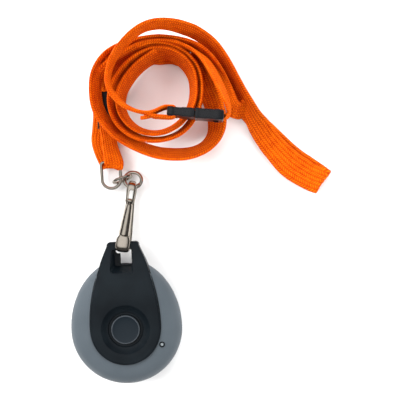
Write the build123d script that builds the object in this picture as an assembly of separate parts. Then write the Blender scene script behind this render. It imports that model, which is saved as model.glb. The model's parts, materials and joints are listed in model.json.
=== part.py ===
"""Panic alarm pendant on a breakaway neck lanyard, lying on its back.

Millimetres, +Z up. The origin is the centre of the back face, under the button.
+Y runs from the button to the lanyard loop.
"""
import os
from math import atan2, cos, degrees, pi, radians, sin, tan

from build123d import *

# Egg-shaped housing
EGG_HALF_WIDTH = 22.2
EGG_TOP_RADIUS = 27.6
EGG_CENTRE_Y = -1.1
SEAM_Z = 6.0
BACK_FLAT_INSET = 8.5
FRONT_TOP_Z = 11.4
FRONT_FLAT_INSET = 8.0
WALL = 1.8
RIM = 3.2
FLOOR_INSET = 6.0
NECK_WALL = 2.0
SEAM_GAP = 0.1

# Black front bezel with the lanyard loop
BEZEL_HALF_WIDTH = 13.9
BEZEL_SIDE_RADIUS = 66.0
BEZEL_SHOULDER_Y = 26.4
BEZEL_TIP_Y = 33.4
BEZEL_CORNER = 2.2
BEZEL_TOP_Z = 12.6
BEZEL_UNDER_Z = 10.0
BEZEL_GAP = 0.2
BEZEL_EDGE = 0.5
NECK_START_Y = 20.6
NECK_UNDER_Z = 2.6
SLOPE_START_Y = 14.0
LOOP_TOP_Z = 9.0
LOOP_UNDER_Z = 4.4
LOOP_BAR = 2.9
LOOP_FLAT_Y = 27.5
SLOT_HEIGHT = 6.3
SLOT_HALF_WIDTH = 3.15
SCOOP_RUN = 3.4
SCOOP_HALF_WIDTH = 4.7
SCOOP_TOP_HALF_WIDTH = 3.8
SCOOP_DEPTH = 5.6

# Dish and push button
DISH_RADIUS = 10.0
DISH_STEP = 0.3
DISH_FOOT_RADIUS = 7.6
DISH_FOOT_Z = 11.0
MOAT_RADIUS = 6.9
MOAT_FLOOR_Z = 10.6
BUTTON_RADIUS = 5.7
BUTTON_GAP = 0.15
BUTTON_TOP_Z = 12.0
BUTTON_FLANGE = 0.9
BUTTON_FLANGE_THICK = 0.6
BUTTON_TRAVEL = 0.6
BUTTON_WALL = 1.1
BUTTON_HOLLOW = 3.6

# Electronics
BOARD_UNDER_Z = 5.8
BOARD_THICK = 1.0
BOARD_CLEARANCE = 1.2
SWITCH_SIDE = 6.0
SWITCH_HEIGHT = 1.4
STEM_RADIUS = 1.6
STEM_GAP = 0.15
BATTERY_DIAMETER = 20.0
BATTERY_THICK = 3.2
CLIP_THICK = 0.25
CLIP_WIDTH = 6.0
SHIELD_SIZE = (9.0, 8.0, 1.5)
SHIELD_Y = 11.6
CONTROLLER_SIDE = 5.0
CONTROLLER_HEIGHT = 0.9
CONTROLLER_AT = (-9.6, -3.0)
CRYSTAL_SIZE = (3.2, 1.6, 0.8)
CRYSTAL_AT = (-9.6, 1.8)
PASSIVE_SIZE = (1.6, 0.8, 0.6)
ANTENNA_RADIUS = 12.6
ANTENNA_WIDTH = 0.8
ANTENNA_THICK = 0.3
LAMP_AT = (14.1, -7.6)
LAMP_RADIUS = 0.68
LAMP_RING = 0.42
LAMP_GAP = 0.05
LED_SIDE = 1.6
LED_HEIGHT = 0.7
GASKET_INSET = 1.5
GASKET_WIDTH = 0.9
GASKET_DEPTH = 0.5

# Housing screws
SCREW_PLACES = ((-12.8, 7.5), (12.8, 7.5), (-9.5, -13.5), (9.5, -13.5))
SCREW_RADIUS = 0.8
SCREW_HEAD_RADIUS = 1.8
SCREW_HEAD_HEIGHT = 1.0
SCREW_SINK = 0.4
SCREW_TOP_Z = 8.9
SCREW_GAP = 0.1
BOSS_RADIUS = 2.3

# Spring-gate hook, in its own frame: +Y runs from the loop bar to the ring
HOOK_TURN = -9.5
HOOK_TILT = -4.0
HOOK_STRIP = 1.1
HOOK_WIDTH = 5.3
HOOK_NECK_WIDTH = 3.3
HOOK_HEAD_WIDTH = 3.8
HOOK_LIP = 5.0
HOOK_REACH = 27.4
HOOK_EYE_RADIUS = 2.2
HOOK_CURL_RADIUS = 1.6
HOOK_BAR_GAP = 0.35
HOOK_SLOT_GAP = 0.9
HOOK_LIP_LIFT = 0.75
WINDOW_WIDTH = 1.9
WINDOW_START = 20.4
WINDOW_END = 23.4
GATE_PIVOT_Y = 19.2
GATE_THICK = 0.6
GATE_TIP_WIDTH = 4.7
GATE_ROOT_WIDTH = 3.1
GATE_CROWN = 4.6
GATE_TIP_GAP = 0.3
PIN_RADIUS = 0.4
PIN_GAP = 0.05

# Wire rings between the hook and the strap
RING_WIRE = 1.35
RING_RADIUS = 3.4
RING_TILT = -16.0
LINK_WIRE = 1.2
LINK_HALF_LENGTH = 3.7
LINK_HALF_WIDTH = 2.1
LINK_AT = (0.6, 58.35, 2.8)
LINK_TURN = 18.0
LINK_TILT = 74.0
DEE_WIRE = 1.3
DEE_HALF_WIDTH = 3.8
DEE_DEPTH = 6.8
DEE_CORNER = 1.2
DEE_BAR = (-3.9, 65.4)
DEE_TILT = 4.0

# Flat braided strap
STRAP_WIDTH = 10.0
STRAP_THICK = 1.4
STRAP_LEAN = 28.0
STRAP_GAP = 0.46
TURN_START = -6.0
TURN_RADIUS = 14.6
TURN_QUARTERS = 10
COIL_CENTRE = (16.3, 92.3)
COIL_LEFT_X = -6.0
COIL_LEFT_BASE = 5.2
COIL_RIGHT_X = 40.0
COIL_RIGHT_BASE = 2.1
LAYER_GAP = 0.4

# Strap end loop and crimp
LOOP_HEAD = (-5.2, 96.6)
LOOP_BUNCHED = 5.8
LOOP_ROOM = 0.4
CRIMP_LENGTH = 15.0
CRIMP_START = 15.2
CRIMP_WALL = 0.6
CRIMP_SIDE = 0.9

# Breakaway buckle, standing on edge
BUCKLE_AT = (31.0, 81.7, 19.0)
BUCKLE_TURN = -7.0
BUCKLE_HEIGHT = 12.0
SOCKET_LENGTH = 11.0
SOCKET_THICK = 4.0
PLUG_LENGTH = 10.6
PLUG_THICK = 3.4
SOCKET_DEPTH = 6.4
SOCKET_WALL = 0.8
PRONG_LENGTH = 5.8
PRONG_GAP = 0.25
BAR_THICK = 1.5
BAR_SLOT = 2.1
BAR_CLEARANCE = 0.35
BAR_WAIST = 1.3
BUCKLE_EDGE = 0.5

# Routes of the free strap, chosen from the photograph
UPPER_LEG = [
    (56.5, 79.4, 4.9), (53.6, 85.0, 4.9), (49.8, 93.0, 5.0), (44.9, 101.8, 5.6),
    (38.4, 110.9, 8.8), (29.4, 118.2, 14.0), (18.8, 120.6, 18.4), (9.4, 118.0, 20.4),
    (2.7, 112.0, 20.6), (-1.2, 104.2, 20.5), (-2.0, 99.2, 20.4),
]
PLUG_LEG = [
    (-2.0, 98.9, 20.4), (-1.6, 94.0, 20.4), (0.9, 89.6, 20.2), (5.6, 86.2, 19.8),
    (12.2, 84.9, 19.3),
]
OUTER_TURN = [
    (54.3, 77.2, 4.9), (50.9, 83.2, 5.0), (46.8, 91.2, 5.8), (41.9, 100.0, 6.9),
    (35.0, 108.8, 7.4), (25.7, 115.0, 8.0), (15.0, 116.9, 8.7), (5.0, 114.3, 9.4),
    (-3.6, 108.6, 10.0), (-9.0, 99.6, 10.3), (-9.8, 89.8, 10.4), (-5.7, 80.6, 10.1),
    (2.8, 73.2, 9.6), (13.2, 68.7, 8.9), (24.6, 67.8, 8.1), (34.9, 70.7, 7.3),
    (41.4, 76.8, 6.9), (42.9, 83.2, 6.9),
]
SOCKET_LEG = [
    (45.9, 80.0, 18.8), (48.0, 83.2, 18.2), (46.7, 88.2, 17.0), (43.6, 92.6, 15.2),
    (40.6, 97.2, 12.6), (37.0, 103.2, 9.8), (30.9, 109.0, 8.4), (22.8, 113.6, 8.0),
    (13.0, 114.2, 8.6), (4.1, 111.0, 9.2), (-2.4, 104.6, 9.8), (-5.7, 97.6, 10.2),
    (-5.9, 94.0, 10.3),
]
FAR_FOLD = ((55.4, 78.3), (77.3, 56.9))
CROSSING = ((29.8, 89.2), (43.1, 84.1))
TAIL_END = (10.2, 81.3, 18.8)


def save(shape, name):
    """Write one piece to its own file."""
    export_step(shape, "parts/" + name + ".step")


def cylinder(radius, z0, z1, at=(0, 0)):
    """Upright cylinder between two heights."""
    return Pos(at[0], at[1], (z0 + z1) / 2) * Cylinder(radius, z1 - z0)


def block(size, at, z0):
    """Upright box standing on a height."""
    return Pos(at[0], at[1], z0 + size[2] / 2) * Box(*size)


def prism(points, z0, z1):
    """Polygon in plan, raised between two heights."""
    face = make_face(Polyline(*points, close=True))
    return Pos(0, 0, z0) * extrude(face, z1 - z0)


def side_prism(points, half_width):
    """Polygon of (y, z) points, raised both ways along X."""
    outline = Polyline(*[(0, y, z) for y, z in points], close=True)
    return extrude(make_face(outline), half_width, dir=(1, 0, 0), both=True)


def egg(inset, z=0.0):
    """Egg outline as a face at a height, drawn in by an inset."""
    across = EGG_HALF_WIDTH - inset
    centre = (0, EGG_CENTRE_Y)
    lower = CenterArc(centre, across, 180, 180)
    upper = EllipticalCenterArc(centre, across, EGG_TOP_RADIUS - inset, 0, arc_size=180)
    return Pos(0, 0, z) * make_face(Curve() + [lower, upper])


def bezel_outline(grow=0.0):
    """Tongue outline: round foot, long side arcs, straight shoulders, blunt tip."""
    side = BEZEL_HALF_WIDTH + grow
    turn = BEZEL_SHOULDER_Y / BEZEL_SIDE_RADIUS
    shoulder_x = BEZEL_HALF_WIDTH - BEZEL_SIDE_RADIUS * (1 - (1 - turn**2) ** 0.5) + grow
    slope = turn / (1 - turn**2) ** 0.5
    tip_y = BEZEL_TIP_Y + grow
    tip_x = shoulder_x - slope * (tip_y - BEZEL_SHOULDER_Y)
    foot = CenterArc((0, 0), side, 180, 180)
    right = TangentArc((side, 0), (shoulder_x, BEZEL_SHOULDER_Y), tangent=(0, 1))
    left = TangentArc((-side, 0), (-shoulder_x, BEZEL_SHOULDER_Y), tangent=(0, 1))
    cap = Polyline(
        (shoulder_x, BEZEL_SHOULDER_Y), (tip_x, tip_y),
        (-tip_x, tip_y), (-shoulder_x, BEZEL_SHOULDER_Y),
    )
    face = make_face(Curve() + [foot, right, cap, left])
    tips = face.vertices().sort_by(Axis.Y)[-2:]
    return fillet(tips, BEZEL_CORNER + grow)


def coil_base(x):
    """Height of the lower edge of the coil, which leans on the crimp and the crossing."""
    share = (x - COIL_LEFT_X) / (COIL_RIGHT_X - COIL_LEFT_X)
    return COIL_LEFT_BASE + (COIL_RIGHT_BASE - COIL_LEFT_BASE) * share


def strap_half_height():
    """Half the height of a leaning strap."""
    lean = radians(STRAP_LEAN)
    return (STRAP_WIDTH * cos(lean) + STRAP_THICK * sin(lean)) / 2


def strap_section(path, lean):
    """Round-edged strap section at the start of a path, on edge and leaning left."""
    start = path @ 0
    ahead = path % 0
    left = Vector(0, 0, 1).cross(ahead).normalized()
    plane = Plane(origin=start, x_dir=left, z_dir=ahead)
    return plane * (Rot(0, 0, 90 - lean) * SlotOverall(STRAP_WIDTH, STRAP_THICK))


def corner_radii(points, share=0.45):
    """Largest arc that the two runs beside each corner allow."""
    radii = []
    for before, here, after in zip(points, points[1:], points[2:]):
        first = Vector(here) - Vector(before)
        second = Vector(after) - Vector(here)
        turn = radians(first.get_angle(second))
        radii.append(share * min(first.length, second.length) / tan(turn / 2))
    return radii


def strap_along(points, lean, name, radii=None, steady=False):
    """Strap on edge along a chosen route; a steady one keeps its lean all the way."""
    arcs = radii or corner_radii(points)
    print(name, "radii", [round(radius, 1) for radius in arcs])
    path = FilletPolyline(*points, radius=arcs)
    guide = path.moved(Location((0, 0, 3 * STRAP_WIDTH))) if steady else None
    strap = sweep(strap_section(path, lean), path, binormal=guide)
    area = STRAP_WIDTH * STRAP_THICK - (1 - pi / 4) * STRAP_THICK**2
    print(name, "length", round(path.length, 1), "volume ratio",
          round(strap.volume / (area * path.length), 3))
    return strap


def flat_strap(start, end, z0):
    """Strap lying flat between two points in plan."""
    run = Vector(*end) - Vector(*start)
    middle = (Vector(*start) + Vector(*end)) / 2
    turn = degrees(atan2(run.Y, run.X))
    section = Plane.YZ * SlotOverall(STRAP_WIDTH, STRAP_THICK)
    strap = extrude(section, run.length / 2, both=True)
    return Pos(middle.X, middle.Y, z0 + STRAP_THICK / 2) * Rot(0, 0, turn) * strap


def hairpin(length, z0, gap_in, gap_out):
    """Two strap layers joined by a fold at x = 0, running along -X."""
    low = z0 + STRAP_THICK / 2
    bend = (gap_out + STRAP_THICK) / 2
    knee = 2.5 * (gap_out + STRAP_THICK)
    lower = Line((-length, 0, low), (-bend, 0, low))
    fold = ThreePointArc((-bend, 0, low), (0, 0, low + bend), (-bend, 0, low + 2 * bend))
    top_in = low + STRAP_THICK + gap_in
    upper = Polyline((-bend, 0, low + 2 * bend), (-knee, 0, top_in), (-length, 0, top_in))
    section = Plane(origin=(-length, 0, low), x_dir=(0, 1, 0), z_dir=(1, 0, 0))
    sketch = section * Rectangle(STRAP_WIDTH, STRAP_THICK)
    return sweep(sketch, Curve() + [lower, fold, upper], transition=Transition.RIGHT)


# Housing shells
def make_rear_housing():
    """Lower shell with floor, rim, screw bosses, gasket groove and neck notch."""
    top = SEAM_Z - SEAM_GAP / 2
    outer = loft([
        egg(BACK_FLAT_INSET), egg(BACK_FLAT_INSET * 0.54, 0.15 * SEAM_Z),
        egg(BACK_FLAT_INSET * 0.18, 0.47 * SEAM_Z), egg(0, top),
    ])
    shell = outer - cavity(WALL, top, FLOOR_INSET, RIM)
    for place in SCREW_PLACES:
        shell += cylinder(BOSS_RADIUS, WALL / 2, BOARD_UNDER_Z - SEAM_GAP, place)
    for place in SCREW_PLACES:
        shell -= cylinder(SCREW_HEAD_RADIUS + SCREW_GAP, -1, SCREW_SINK + SCREW_HEAD_HEIGHT, place)
        shell -= cylinder(SCREW_RADIUS + SCREW_GAP, 0, SEAM_Z, place)
    shell -= gasket_ring(top - GASKET_DEPTH, top + 1, 0.05)
    return shell - neck_notch()


def make_front_housing():
    """Upper shell with recess for the bezel, button opening and lamp hole."""
    base = SEAM_Z + SEAM_GAP / 2
    rise = FRONT_TOP_Z - base
    outer = loft([
        egg(0, base), egg(FRONT_FLAT_INSET * 0.16, base + 0.51 * rise),
        egg(FRONT_FLAT_INSET * 0.52, base + 0.85 * rise), egg(FRONT_FLAT_INSET, FRONT_TOP_Z),
    ])
    roof = BEZEL_UNDER_Z - BEZEL_GAP - 0.5
    shell = outer - cavity(base, roof, RIM, FLOOR_INSET)
    boss_foot = BOARD_UNDER_Z + BOARD_THICK + SEAM_GAP
    for place in SCREW_PLACES:
        shell += cylinder(BOSS_RADIUS - 0.3, boss_foot, roof + 0.2, place)
    for place in SCREW_PLACES:
        shell -= cylinder(SCREW_RADIUS + PIN_GAP, base, SCREW_TOP_Z + SCREW_GAP, place)
    shell -= Pos(0, 0, BEZEL_UNDER_Z - BEZEL_GAP) * extrude(bezel_outline(BEZEL_GAP), 5)
    shell -= cylinder(BUTTON_RADIUS + BUTTON_FLANGE + 1.0, base, FRONT_TOP_Z)
    shell -= cylinder(LAMP_RADIUS + LAMP_RING + LAMP_GAP, base, FRONT_TOP_Z + 1, LAMP_AT)
    return shell - neck_notch()


def cavity(z0, z1, inset0, inset1):
    """Space inside a shell, closed before the neck of the bezel."""
    space = loft([egg(inset0, z0), egg(inset1, z1)])
    wall_y = NECK_START_Y - BEZEL_GAP - NECK_WALL
    return space - block((60, 40, 40), (0, wall_y + 20), -10)


def neck_notch():
    """Cut in both shells that the neck of the bezel fills."""
    reach = bezel_outline(BEZEL_GAP)
    low = NECK_UNDER_Z - BEZEL_GAP
    notch = Pos(0, 0, low) * extrude(reach, FRONT_TOP_Z)
    return notch & block((60, 40, 40), (0, NECK_START_Y - BEZEL_GAP + 20), -10)


def gasket_ring(z0, z1, gap):
    """Ring that follows the rim and passes inside the neck."""
    wall_y = NECK_START_Y - BEZEL_GAP - (NECK_WALL - GASKET_WIDTH) / 2
    outer = Pos(0, 0, z0) * extrude(egg(GASKET_INSET - gap), z1 - z0)
    outer -= block((60, 40, 40), (0, wall_y + gap + 20), -10)
    inner = Pos(0, 0, z0) * extrude(egg(GASKET_INSET + GASKET_WIDTH + gap), z1 - z0)
    inner -= block((60, 40, 40), (0, wall_y - GASKET_WIDTH - gap + 20), -10)
    return outer - inner


def make_bezel():
    """Raised tongue with the dish and, past the housing, the scooped lanyard loop."""
    tall = BEZEL_TOP_Z - NECK_UNDER_Z
    body = Pos(0, 0, NECK_UNDER_Z) * extrude(bezel_outline(), tall)
    foot = -BEZEL_HALF_WIDTH - 1
    tip = BEZEL_TIP_Y + 1
    body &= side_prism([
        (foot, BEZEL_UNDER_Z), (NECK_START_Y, BEZEL_UNDER_Z), (NECK_START_Y, NECK_UNDER_Z),
        (LOOP_FLAT_Y, LOOP_UNDER_Z), (tip, LOOP_UNDER_Z), (tip, LOOP_TOP_Z),
        (SLOPE_START_Y, BEZEL_TOP_Z), (foot, BEZEL_TOP_Z),
    ], 20)
    rim = [edge for edge in body.edges() if edge.center().Z > LOOP_TOP_Z - 0.2
           and abs((edge % 0.5).Z) < 0.5 and not on_slope_break(edge)]
    body = fillet([edge for edge in rim if edge.center().Z > BEZEL_UNDER_Z + 0.5
                   or edge.center().Y > NECK_START_Y], BEZEL_EDGE)
    return body - dish_cut() - slot_cut()


def on_slope_break(edge):
    """True for the line across the tongue where its top begins to fall."""
    return edge.geom_type == GeomType.LINE and abs(edge.center().Y - SLOPE_START_Y) < 0.1


def dish_cut():
    """Turned dish, moat and button hole."""
    top = BEZEL_TOP_Z + 1
    step_z = BEZEL_TOP_Z - DISH_STEP
    mid = ((DISH_RADIUS + DISH_FOOT_RADIUS) / 2 - 0.25, (step_z + DISH_FOOT_Z) / 2 - 0.1)
    slope = ThreePointArc(
        (DISH_RADIUS, 0, step_z), (mid[0], 0, mid[1]), (DISH_FOOT_RADIUS, 0, DISH_FOOT_Z),
    )
    hole = BUTTON_RADIUS + BUTTON_GAP
    rest = Polyline(
        (DISH_FOOT_RADIUS, 0, DISH_FOOT_Z), (MOAT_RADIUS, 0, DISH_FOOT_Z),
        (MOAT_RADIUS, 0, MOAT_FLOOR_Z), (hole, 0, MOAT_FLOOR_Z), (hole, 0, BEZEL_UNDER_Z - 1),
        (0, 0, BEZEL_UNDER_Z - 1), (0, 0, top), (DISH_RADIUS, 0, top), (DISH_RADIUS, 0, step_z),
    )
    return revolve(make_face(Curve() + [slope, rest]), Axis.Z)


def slot_cut():
    """Slot for the hook, with a scoop that widens toward the front."""
    top_y = BEZEL_TIP_Y - LOOP_BAR
    low_y = top_y - SLOT_HEIGHT
    hole = [
        (-SLOT_HALF_WIDTH, low_y), (SLOT_HALF_WIDTH, low_y),
        (SLOT_HALF_WIDTH, top_y), (-SLOT_HALF_WIDTH, top_y),
    ]
    scoop = [
        (-SCOOP_HALF_WIDTH, low_y - SCOOP_RUN), (SCOOP_HALF_WIDTH, low_y - SCOOP_RUN),
        (SCOOP_TOP_HALF_WIDTH, top_y), (-SCOOP_TOP_HALF_WIDTH, top_y),
    ]
    bottom = Pos(0, 0, BEZEL_TOP_Z - SCOOP_DEPTH) * make_face(Polyline(*hole, close=True))
    lip = Pos(0, 0, BEZEL_TOP_Z) * make_face(Polyline(*scoop, close=True))
    return prism(hole, 0, BEZEL_TOP_Z) + loft([bottom, lip], ruled=True)


# Push button and switch
def make_button():
    """Hollow cap with a dished top, a retaining flange and a centre post."""
    flange_z = button_foot()
    flange_top = flange_z + BUTTON_FLANGE_THICK
    cap = cylinder(BUTTON_RADIUS, flange_z, BUTTON_TOP_Z)
    cap = fillet(cap.edges().sort_by(Axis.Z)[-1], 0.45)
    cap += cylinder(BUTTON_RADIUS + BUTTON_FLANGE, flange_z, flange_top)
    sphere = 40.0
    cap -= Pos(0, 0, BUTTON_TOP_Z + sphere - 0.25) * Sphere(sphere)
    inside = cylinder(BUTTON_RADIUS - BUTTON_WALL, flange_z, BUTTON_TOP_Z - BUTTON_WALL)
    inside -= cylinder(BUTTON_HOLLOW / 2, flange_z, BUTTON_TOP_Z)
    return cap - inside


def button_foot():
    """Height of the lower end of the button's post."""
    return BEZEL_UNDER_Z - 0.2 - BUTTON_FLANGE_THICK


def make_switch():
    """Square switch body with a bore for its stem."""
    base = BOARD_UNDER_Z + BOARD_THICK
    body = block((SWITCH_SIDE, SWITCH_SIDE, SWITCH_HEIGHT), (0, 0), base)
    body = fillet(body.edges().filter_by(Axis.Z), 0.6)
    return body - cylinder(STEM_RADIUS + STEM_GAP, base + 0.2, base + SWITCH_HEIGHT + 1)


def make_stem():
    """Switch stem that the button's post pushes."""
    base = BOARD_UNDER_Z + BOARD_THICK + 0.2 + BUTTON_TRAVEL + STEM_GAP
    return cylinder(STEM_RADIUS, base, button_foot())


def make_seal():
    """Silicone ring round the button under the bezel."""
    inner = BUTTON_RADIUS + BUTTON_FLANGE + 0.15
    ring = cylinder(inner + 0.75, BEZEL_UNDER_Z - 1.0, BEZEL_UNDER_Z)
    return ring - cylinder(inner, 0, BEZEL_UNDER_Z + 1)


# Electronics
def make_board():
    """Circuit board cut to the cavity, with screw holes."""
    inset = RIM + BOARD_CLEARANCE
    board = Pos(0, 0, BOARD_UNDER_Z) * extrude(egg(inset), BOARD_THICK)
    wall_y = NECK_START_Y - BEZEL_GAP - NECK_WALL - BOARD_CLEARANCE / 2
    board -= block((60, 40, 40), (0, wall_y + 20), -10)
    for place in SCREW_PLACES:
        board -= cylinder(SCREW_RADIUS + SCREW_GAP, 0, SEAM_Z + 5, place)
    return board


def make_battery():
    """Coin cell with the step of its smaller pole."""
    top = BOARD_UNDER_Z - 0.4
    radius = BATTERY_DIAMETER / 2
    cell = cylinder(radius, top - BATTERY_THICK, top - 0.5, (0, EGG_CENTRE_Y))
    cell += cylinder(radius - 1.3, top - 0.5, top, (0, EGG_CENTRE_Y))
    return cell


def make_clip():
    """Metal strap that holds the cell against the board."""
    under = BOARD_UNDER_Z - 0.4 - BATTERY_THICK - 0.05
    half = BATTERY_DIAMETER / 2 + 0.2
    outer = block(
        (2 * (half + CLIP_THICK), CLIP_WIDTH, BOARD_UNDER_Z - under + CLIP_THICK),
        (0, EGG_CENTRE_Y), under - CLIP_THICK,
    )
    return outer - block((2 * half, CLIP_WIDTH + 2, 20), (0, EGG_CENTRE_Y), under)


def make_passives():
    """Small board parts, as one group of separate solids."""
    base = BOARD_UNDER_Z + BOARD_THICK
    places = [(6.5, -6.0), (9.5, -6.0), (8.0, -3.0), (8.0, 0.5), (-4.5, -8.0), (-1.5, -8.0)]
    return Compound(children=[block(PASSIVE_SIZE, place, base) for place in places])


def make_antenna():
    """Loop antenna strip along the foot of the board."""
    base = BOARD_UNDER_Z + BOARD_THICK
    centre = (0, EGG_CENTRE_Y)
    outer = cylinder(ANTENNA_RADIUS + ANTENNA_WIDTH / 2, base, base + ANTENNA_THICK, centre)
    ring = outer - cylinder(ANTENNA_RADIUS - ANTENNA_WIDTH / 2, 0, 20, centre)
    return ring - block((60, 60, 30), (0, 30 - 6.0), 0)


def make_light_pipe():
    """Clear lens over the lamp."""
    base = BOARD_UNDER_Z + BOARD_THICK + LED_HEIGHT + 0.3
    lens = cylinder(LAMP_RADIUS, base, FRONT_TOP_Z - 0.1, LAMP_AT)
    return fillet(lens.edges().sort_by(Axis.Z)[-1], 0.25)


def make_lamp_ring():
    """Dark collar round the lens."""
    foot = BEZEL_UNDER_Z - 0.6
    ring = cylinder(LAMP_RADIUS + LAMP_RING, foot, FRONT_TOP_Z, LAMP_AT)
    return ring - cylinder(LAMP_RADIUS + LAMP_GAP, 0, 20, LAMP_AT)


def make_screws():
    """Four housing screws with crossed recesses left plain."""
    solids = []
    for place in SCREW_PLACES:
        head_top = SCREW_SINK + SCREW_HEAD_HEIGHT
        screw = cylinder(SCREW_HEAD_RADIUS, SCREW_SINK, head_top, place)
        screw += cylinder(SCREW_RADIUS, SCREW_SINK, SCREW_TOP_Z, place)
        socket = Pos(place[0], place[1], SCREW_SINK) * (Box(2.2, 0.5, 1.0) + Box(0.5, 2.2, 1.0))
        solids.append(screw - socket)
    return Compound(children=solids)


# Hook
def hook_place():
    """Where the hook's own frame sits: on the inner edge of the loop bar."""
    bar_y = BEZEL_TIP_Y - LOOP_BAR
    mid_z = (LOOP_TOP_Z + LOOP_UNDER_Z) / 2
    return Pos(0.3, bar_y, mid_z) * Rot(0, 0, HOOK_TURN) * Rot(HOOK_TILT, 0, 0)


def hook_levels():
    """Centre heights of lip, spine and eye in the hook's frame."""
    half_bar = (LOOP_TOP_Z - LOOP_UNDER_Z) / 2
    lip = half_bar + HOOK_LIP_LIFT + HOOK_BAR_GAP + HOOK_STRIP / 2
    spine = -half_bar - HOOK_BAR_GAP - HOOK_STRIP / 2
    return lip, spine, spine + HOOK_EYE_RADIUS


def make_hook_frame():
    """Bent strip: lip over the bar, curl through the slot, spine, eye and front fork."""
    lip, spine, _ = hook_levels()
    curl_y = -HOOK_SLOT_GAP - HOOK_STRIP / 2
    head_y = HOOK_REACH - HOOK_STRIP / 2
    front = spine + 2 * HOOK_EYE_RADIUS
    points = [
        (0, HOOK_LIP, lip), (0, curl_y, lip), (0, curl_y, spine), (0, head_y, spine),
        (0, head_y, front), (0, GATE_PIVOT_Y - 0.9, front),
    ]
    curl = HOOK_CURL_RADIUS
    round_eye = HOOK_EYE_RADIUS - 0.05
    path = FilletPolyline(*points, radius=[curl, curl, round_eye, round_eye])
    start = Plane(origin=points[0], x_dir=(1, 0, 0), z_dir=(0, -1, 0))
    strip = sweep(start * Rectangle(HOOK_WIDTH + 1, HOOK_STRIP), path)
    half, neck, head = HOOK_WIDTH / 2, HOOK_NECK_WIDTH / 2, HOOK_HEAD_WIDTH / 2
    plan = make_face(Polyline(
        (-half, -4), (half, -4), (half, HOOK_LIP), (neck, GATE_PIVOT_Y), (head, head_y - 2.5),
        (head, HOOK_REACH + 1), (-head, HOOK_REACH + 1), (-head, head_y - 2.5),
        (-neck, GATE_PIVOT_Y), (-half, HOOK_LIP), close=True,
    ))
    frame = strip & extrude(plan, 20, both=True)
    window = WINDOW_WIDTH / 2
    frame -= prism([
        (-window, WINDOW_START), (window, WINDOW_START), (window, WINDOW_END),
        (-window, WINDOW_END),
    ], -20, 20)
    frame -= prism([
        (-window, 0), (window, 0), (window, WINDOW_END), (-window, WINDOW_END),
    ], front - HOOK_STRIP, front + HOOK_STRIP) & prism([
        (-9, GATE_PIVOT_Y - 3), (9, GATE_PIVOT_Y - 3), (9, 30), (-9, 30),
    ], -20, 20)
    pin_hole = Pos(0, GATE_PIVOT_Y, front) * Rot(0, 90, 0) * Cylinder(PIN_RADIUS, 12)
    return hook_place() * (frame - pin_hole)


def gate_line():
    """Pivot and tip of the gate in the hook's frame."""
    lip, spine, _ = hook_levels()
    pivot = (GATE_PIVOT_Y, spine + 2 * HOOK_EYE_RADIUS)
    tip_z = lip - HOOK_STRIP / 2 - GATE_TIP_GAP - GATE_THICK / 2
    return pivot, (HOOK_LIP - 0.5, tip_z)


def make_gate():
    """Crowned leaf that closes the hook, with its knuckle."""
    pivot, tip = gate_line()
    run = ((pivot[0] - tip[0]) ** 2 + (pivot[1] - tip[1]) ** 2) ** 0.5
    rise = degrees(atan2(pivot[1] - tip[1], pivot[0] - tip[0]))
    root, end = GATE_ROOT_WIDTH / 2, GATE_TIP_WIDTH / 2
    narrow = WINDOW_WIDTH / 2 - 0.1
    plan = prism([
        (-end, 0), (end, 0), (root, run - 1.5), (narrow, run - 1.2), (narrow, run),
        (-narrow, run), (-narrow, run - 1.2), (-root, run - 1.5),
    ], -3, 3)
    axis_z = GATE_THICK / 2 - GATE_CROWN
    crown = Pos(0, 0, axis_z) * Rot(90, 0, 0) * Cylinder(GATE_CROWN, 4 * run)
    bore = Pos(0, 0, axis_z) * Rot(90, 0, 0) * Cylinder(GATE_CROWN - GATE_THICK, 4 * run)
    leaf = (crown - bore) & plan
    knuckle = Pos(0, run, 0) * Rot(0, 90, 0) * Cylinder(PIN_RADIUS + 0.45, 2 * narrow)
    gate = leaf + knuckle
    gate -= Pos(0, run, 0) * Rot(0, 90, 0) * Cylinder(PIN_RADIUS + PIN_GAP, 12)
    return hook_place() * Pos(0, tip[0], tip[1]) * Rot(rise, 0, 0) * gate


def make_pin():
    """Pin of the gate, flush with the sides of the fork."""
    pivot, _ = gate_line()
    pin = Rot(0, 90, 0) * Cylinder(PIN_RADIUS, HOOK_NECK_WIDTH + 0.2)
    return hook_place() * Pos(0, pivot[0], pivot[1]) * pin


# Rings
def wire_oval(half_length, half_width, wire):
    """Closed wire with straight sides along X."""
    straight = half_length - half_width
    rail = Curve() + [
        Line((-straight, half_width), (straight, half_width)),
        CenterArc((straight, 0), half_width, 90, -180),
        Line((straight, -half_width), (-straight, -half_width)),
        CenterArc((-straight, 0), half_width, 270, -180),
    ]
    section = Plane(origin=(-straight, half_width, 0), z_dir=(1, 0, 0)) * Circle(wire / 2)
    return sweep(section, rail)


def make_hook_ring():
    """Round ring through the eye of the hook."""
    _, _, eye = hook_levels()
    eye_y = HOOK_REACH - HOOK_STRIP / 2 - HOOK_EYE_RADIUS
    place = hook_place() * Pos(0, eye_y, eye) * Rot(RING_TILT, 0, 0) * Pos(0, RING_RADIUS, 0)
    return place * Torus(RING_RADIUS, RING_WIRE / 2)


def make_link():
    """Small oval link between the two rings."""
    oval = wire_oval(LINK_HALF_LENGTH, LINK_HALF_WIDTH, LINK_WIRE)
    return Pos(*LINK_AT) * Rot(0, 0, LINK_TURN) * Rot(LINK_TILT, 0, 0) * oval


def fold_gap():
    """Room that the fold of the strap ends leaves for the ring's bar."""
    return DEE_WIRE + LOOP_ROOM


def fold_centre_z():
    """Height of the bar inside the fold."""
    return CRIMP_WALL + 0.1 + STRAP_THICK + fold_gap() / 2


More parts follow.
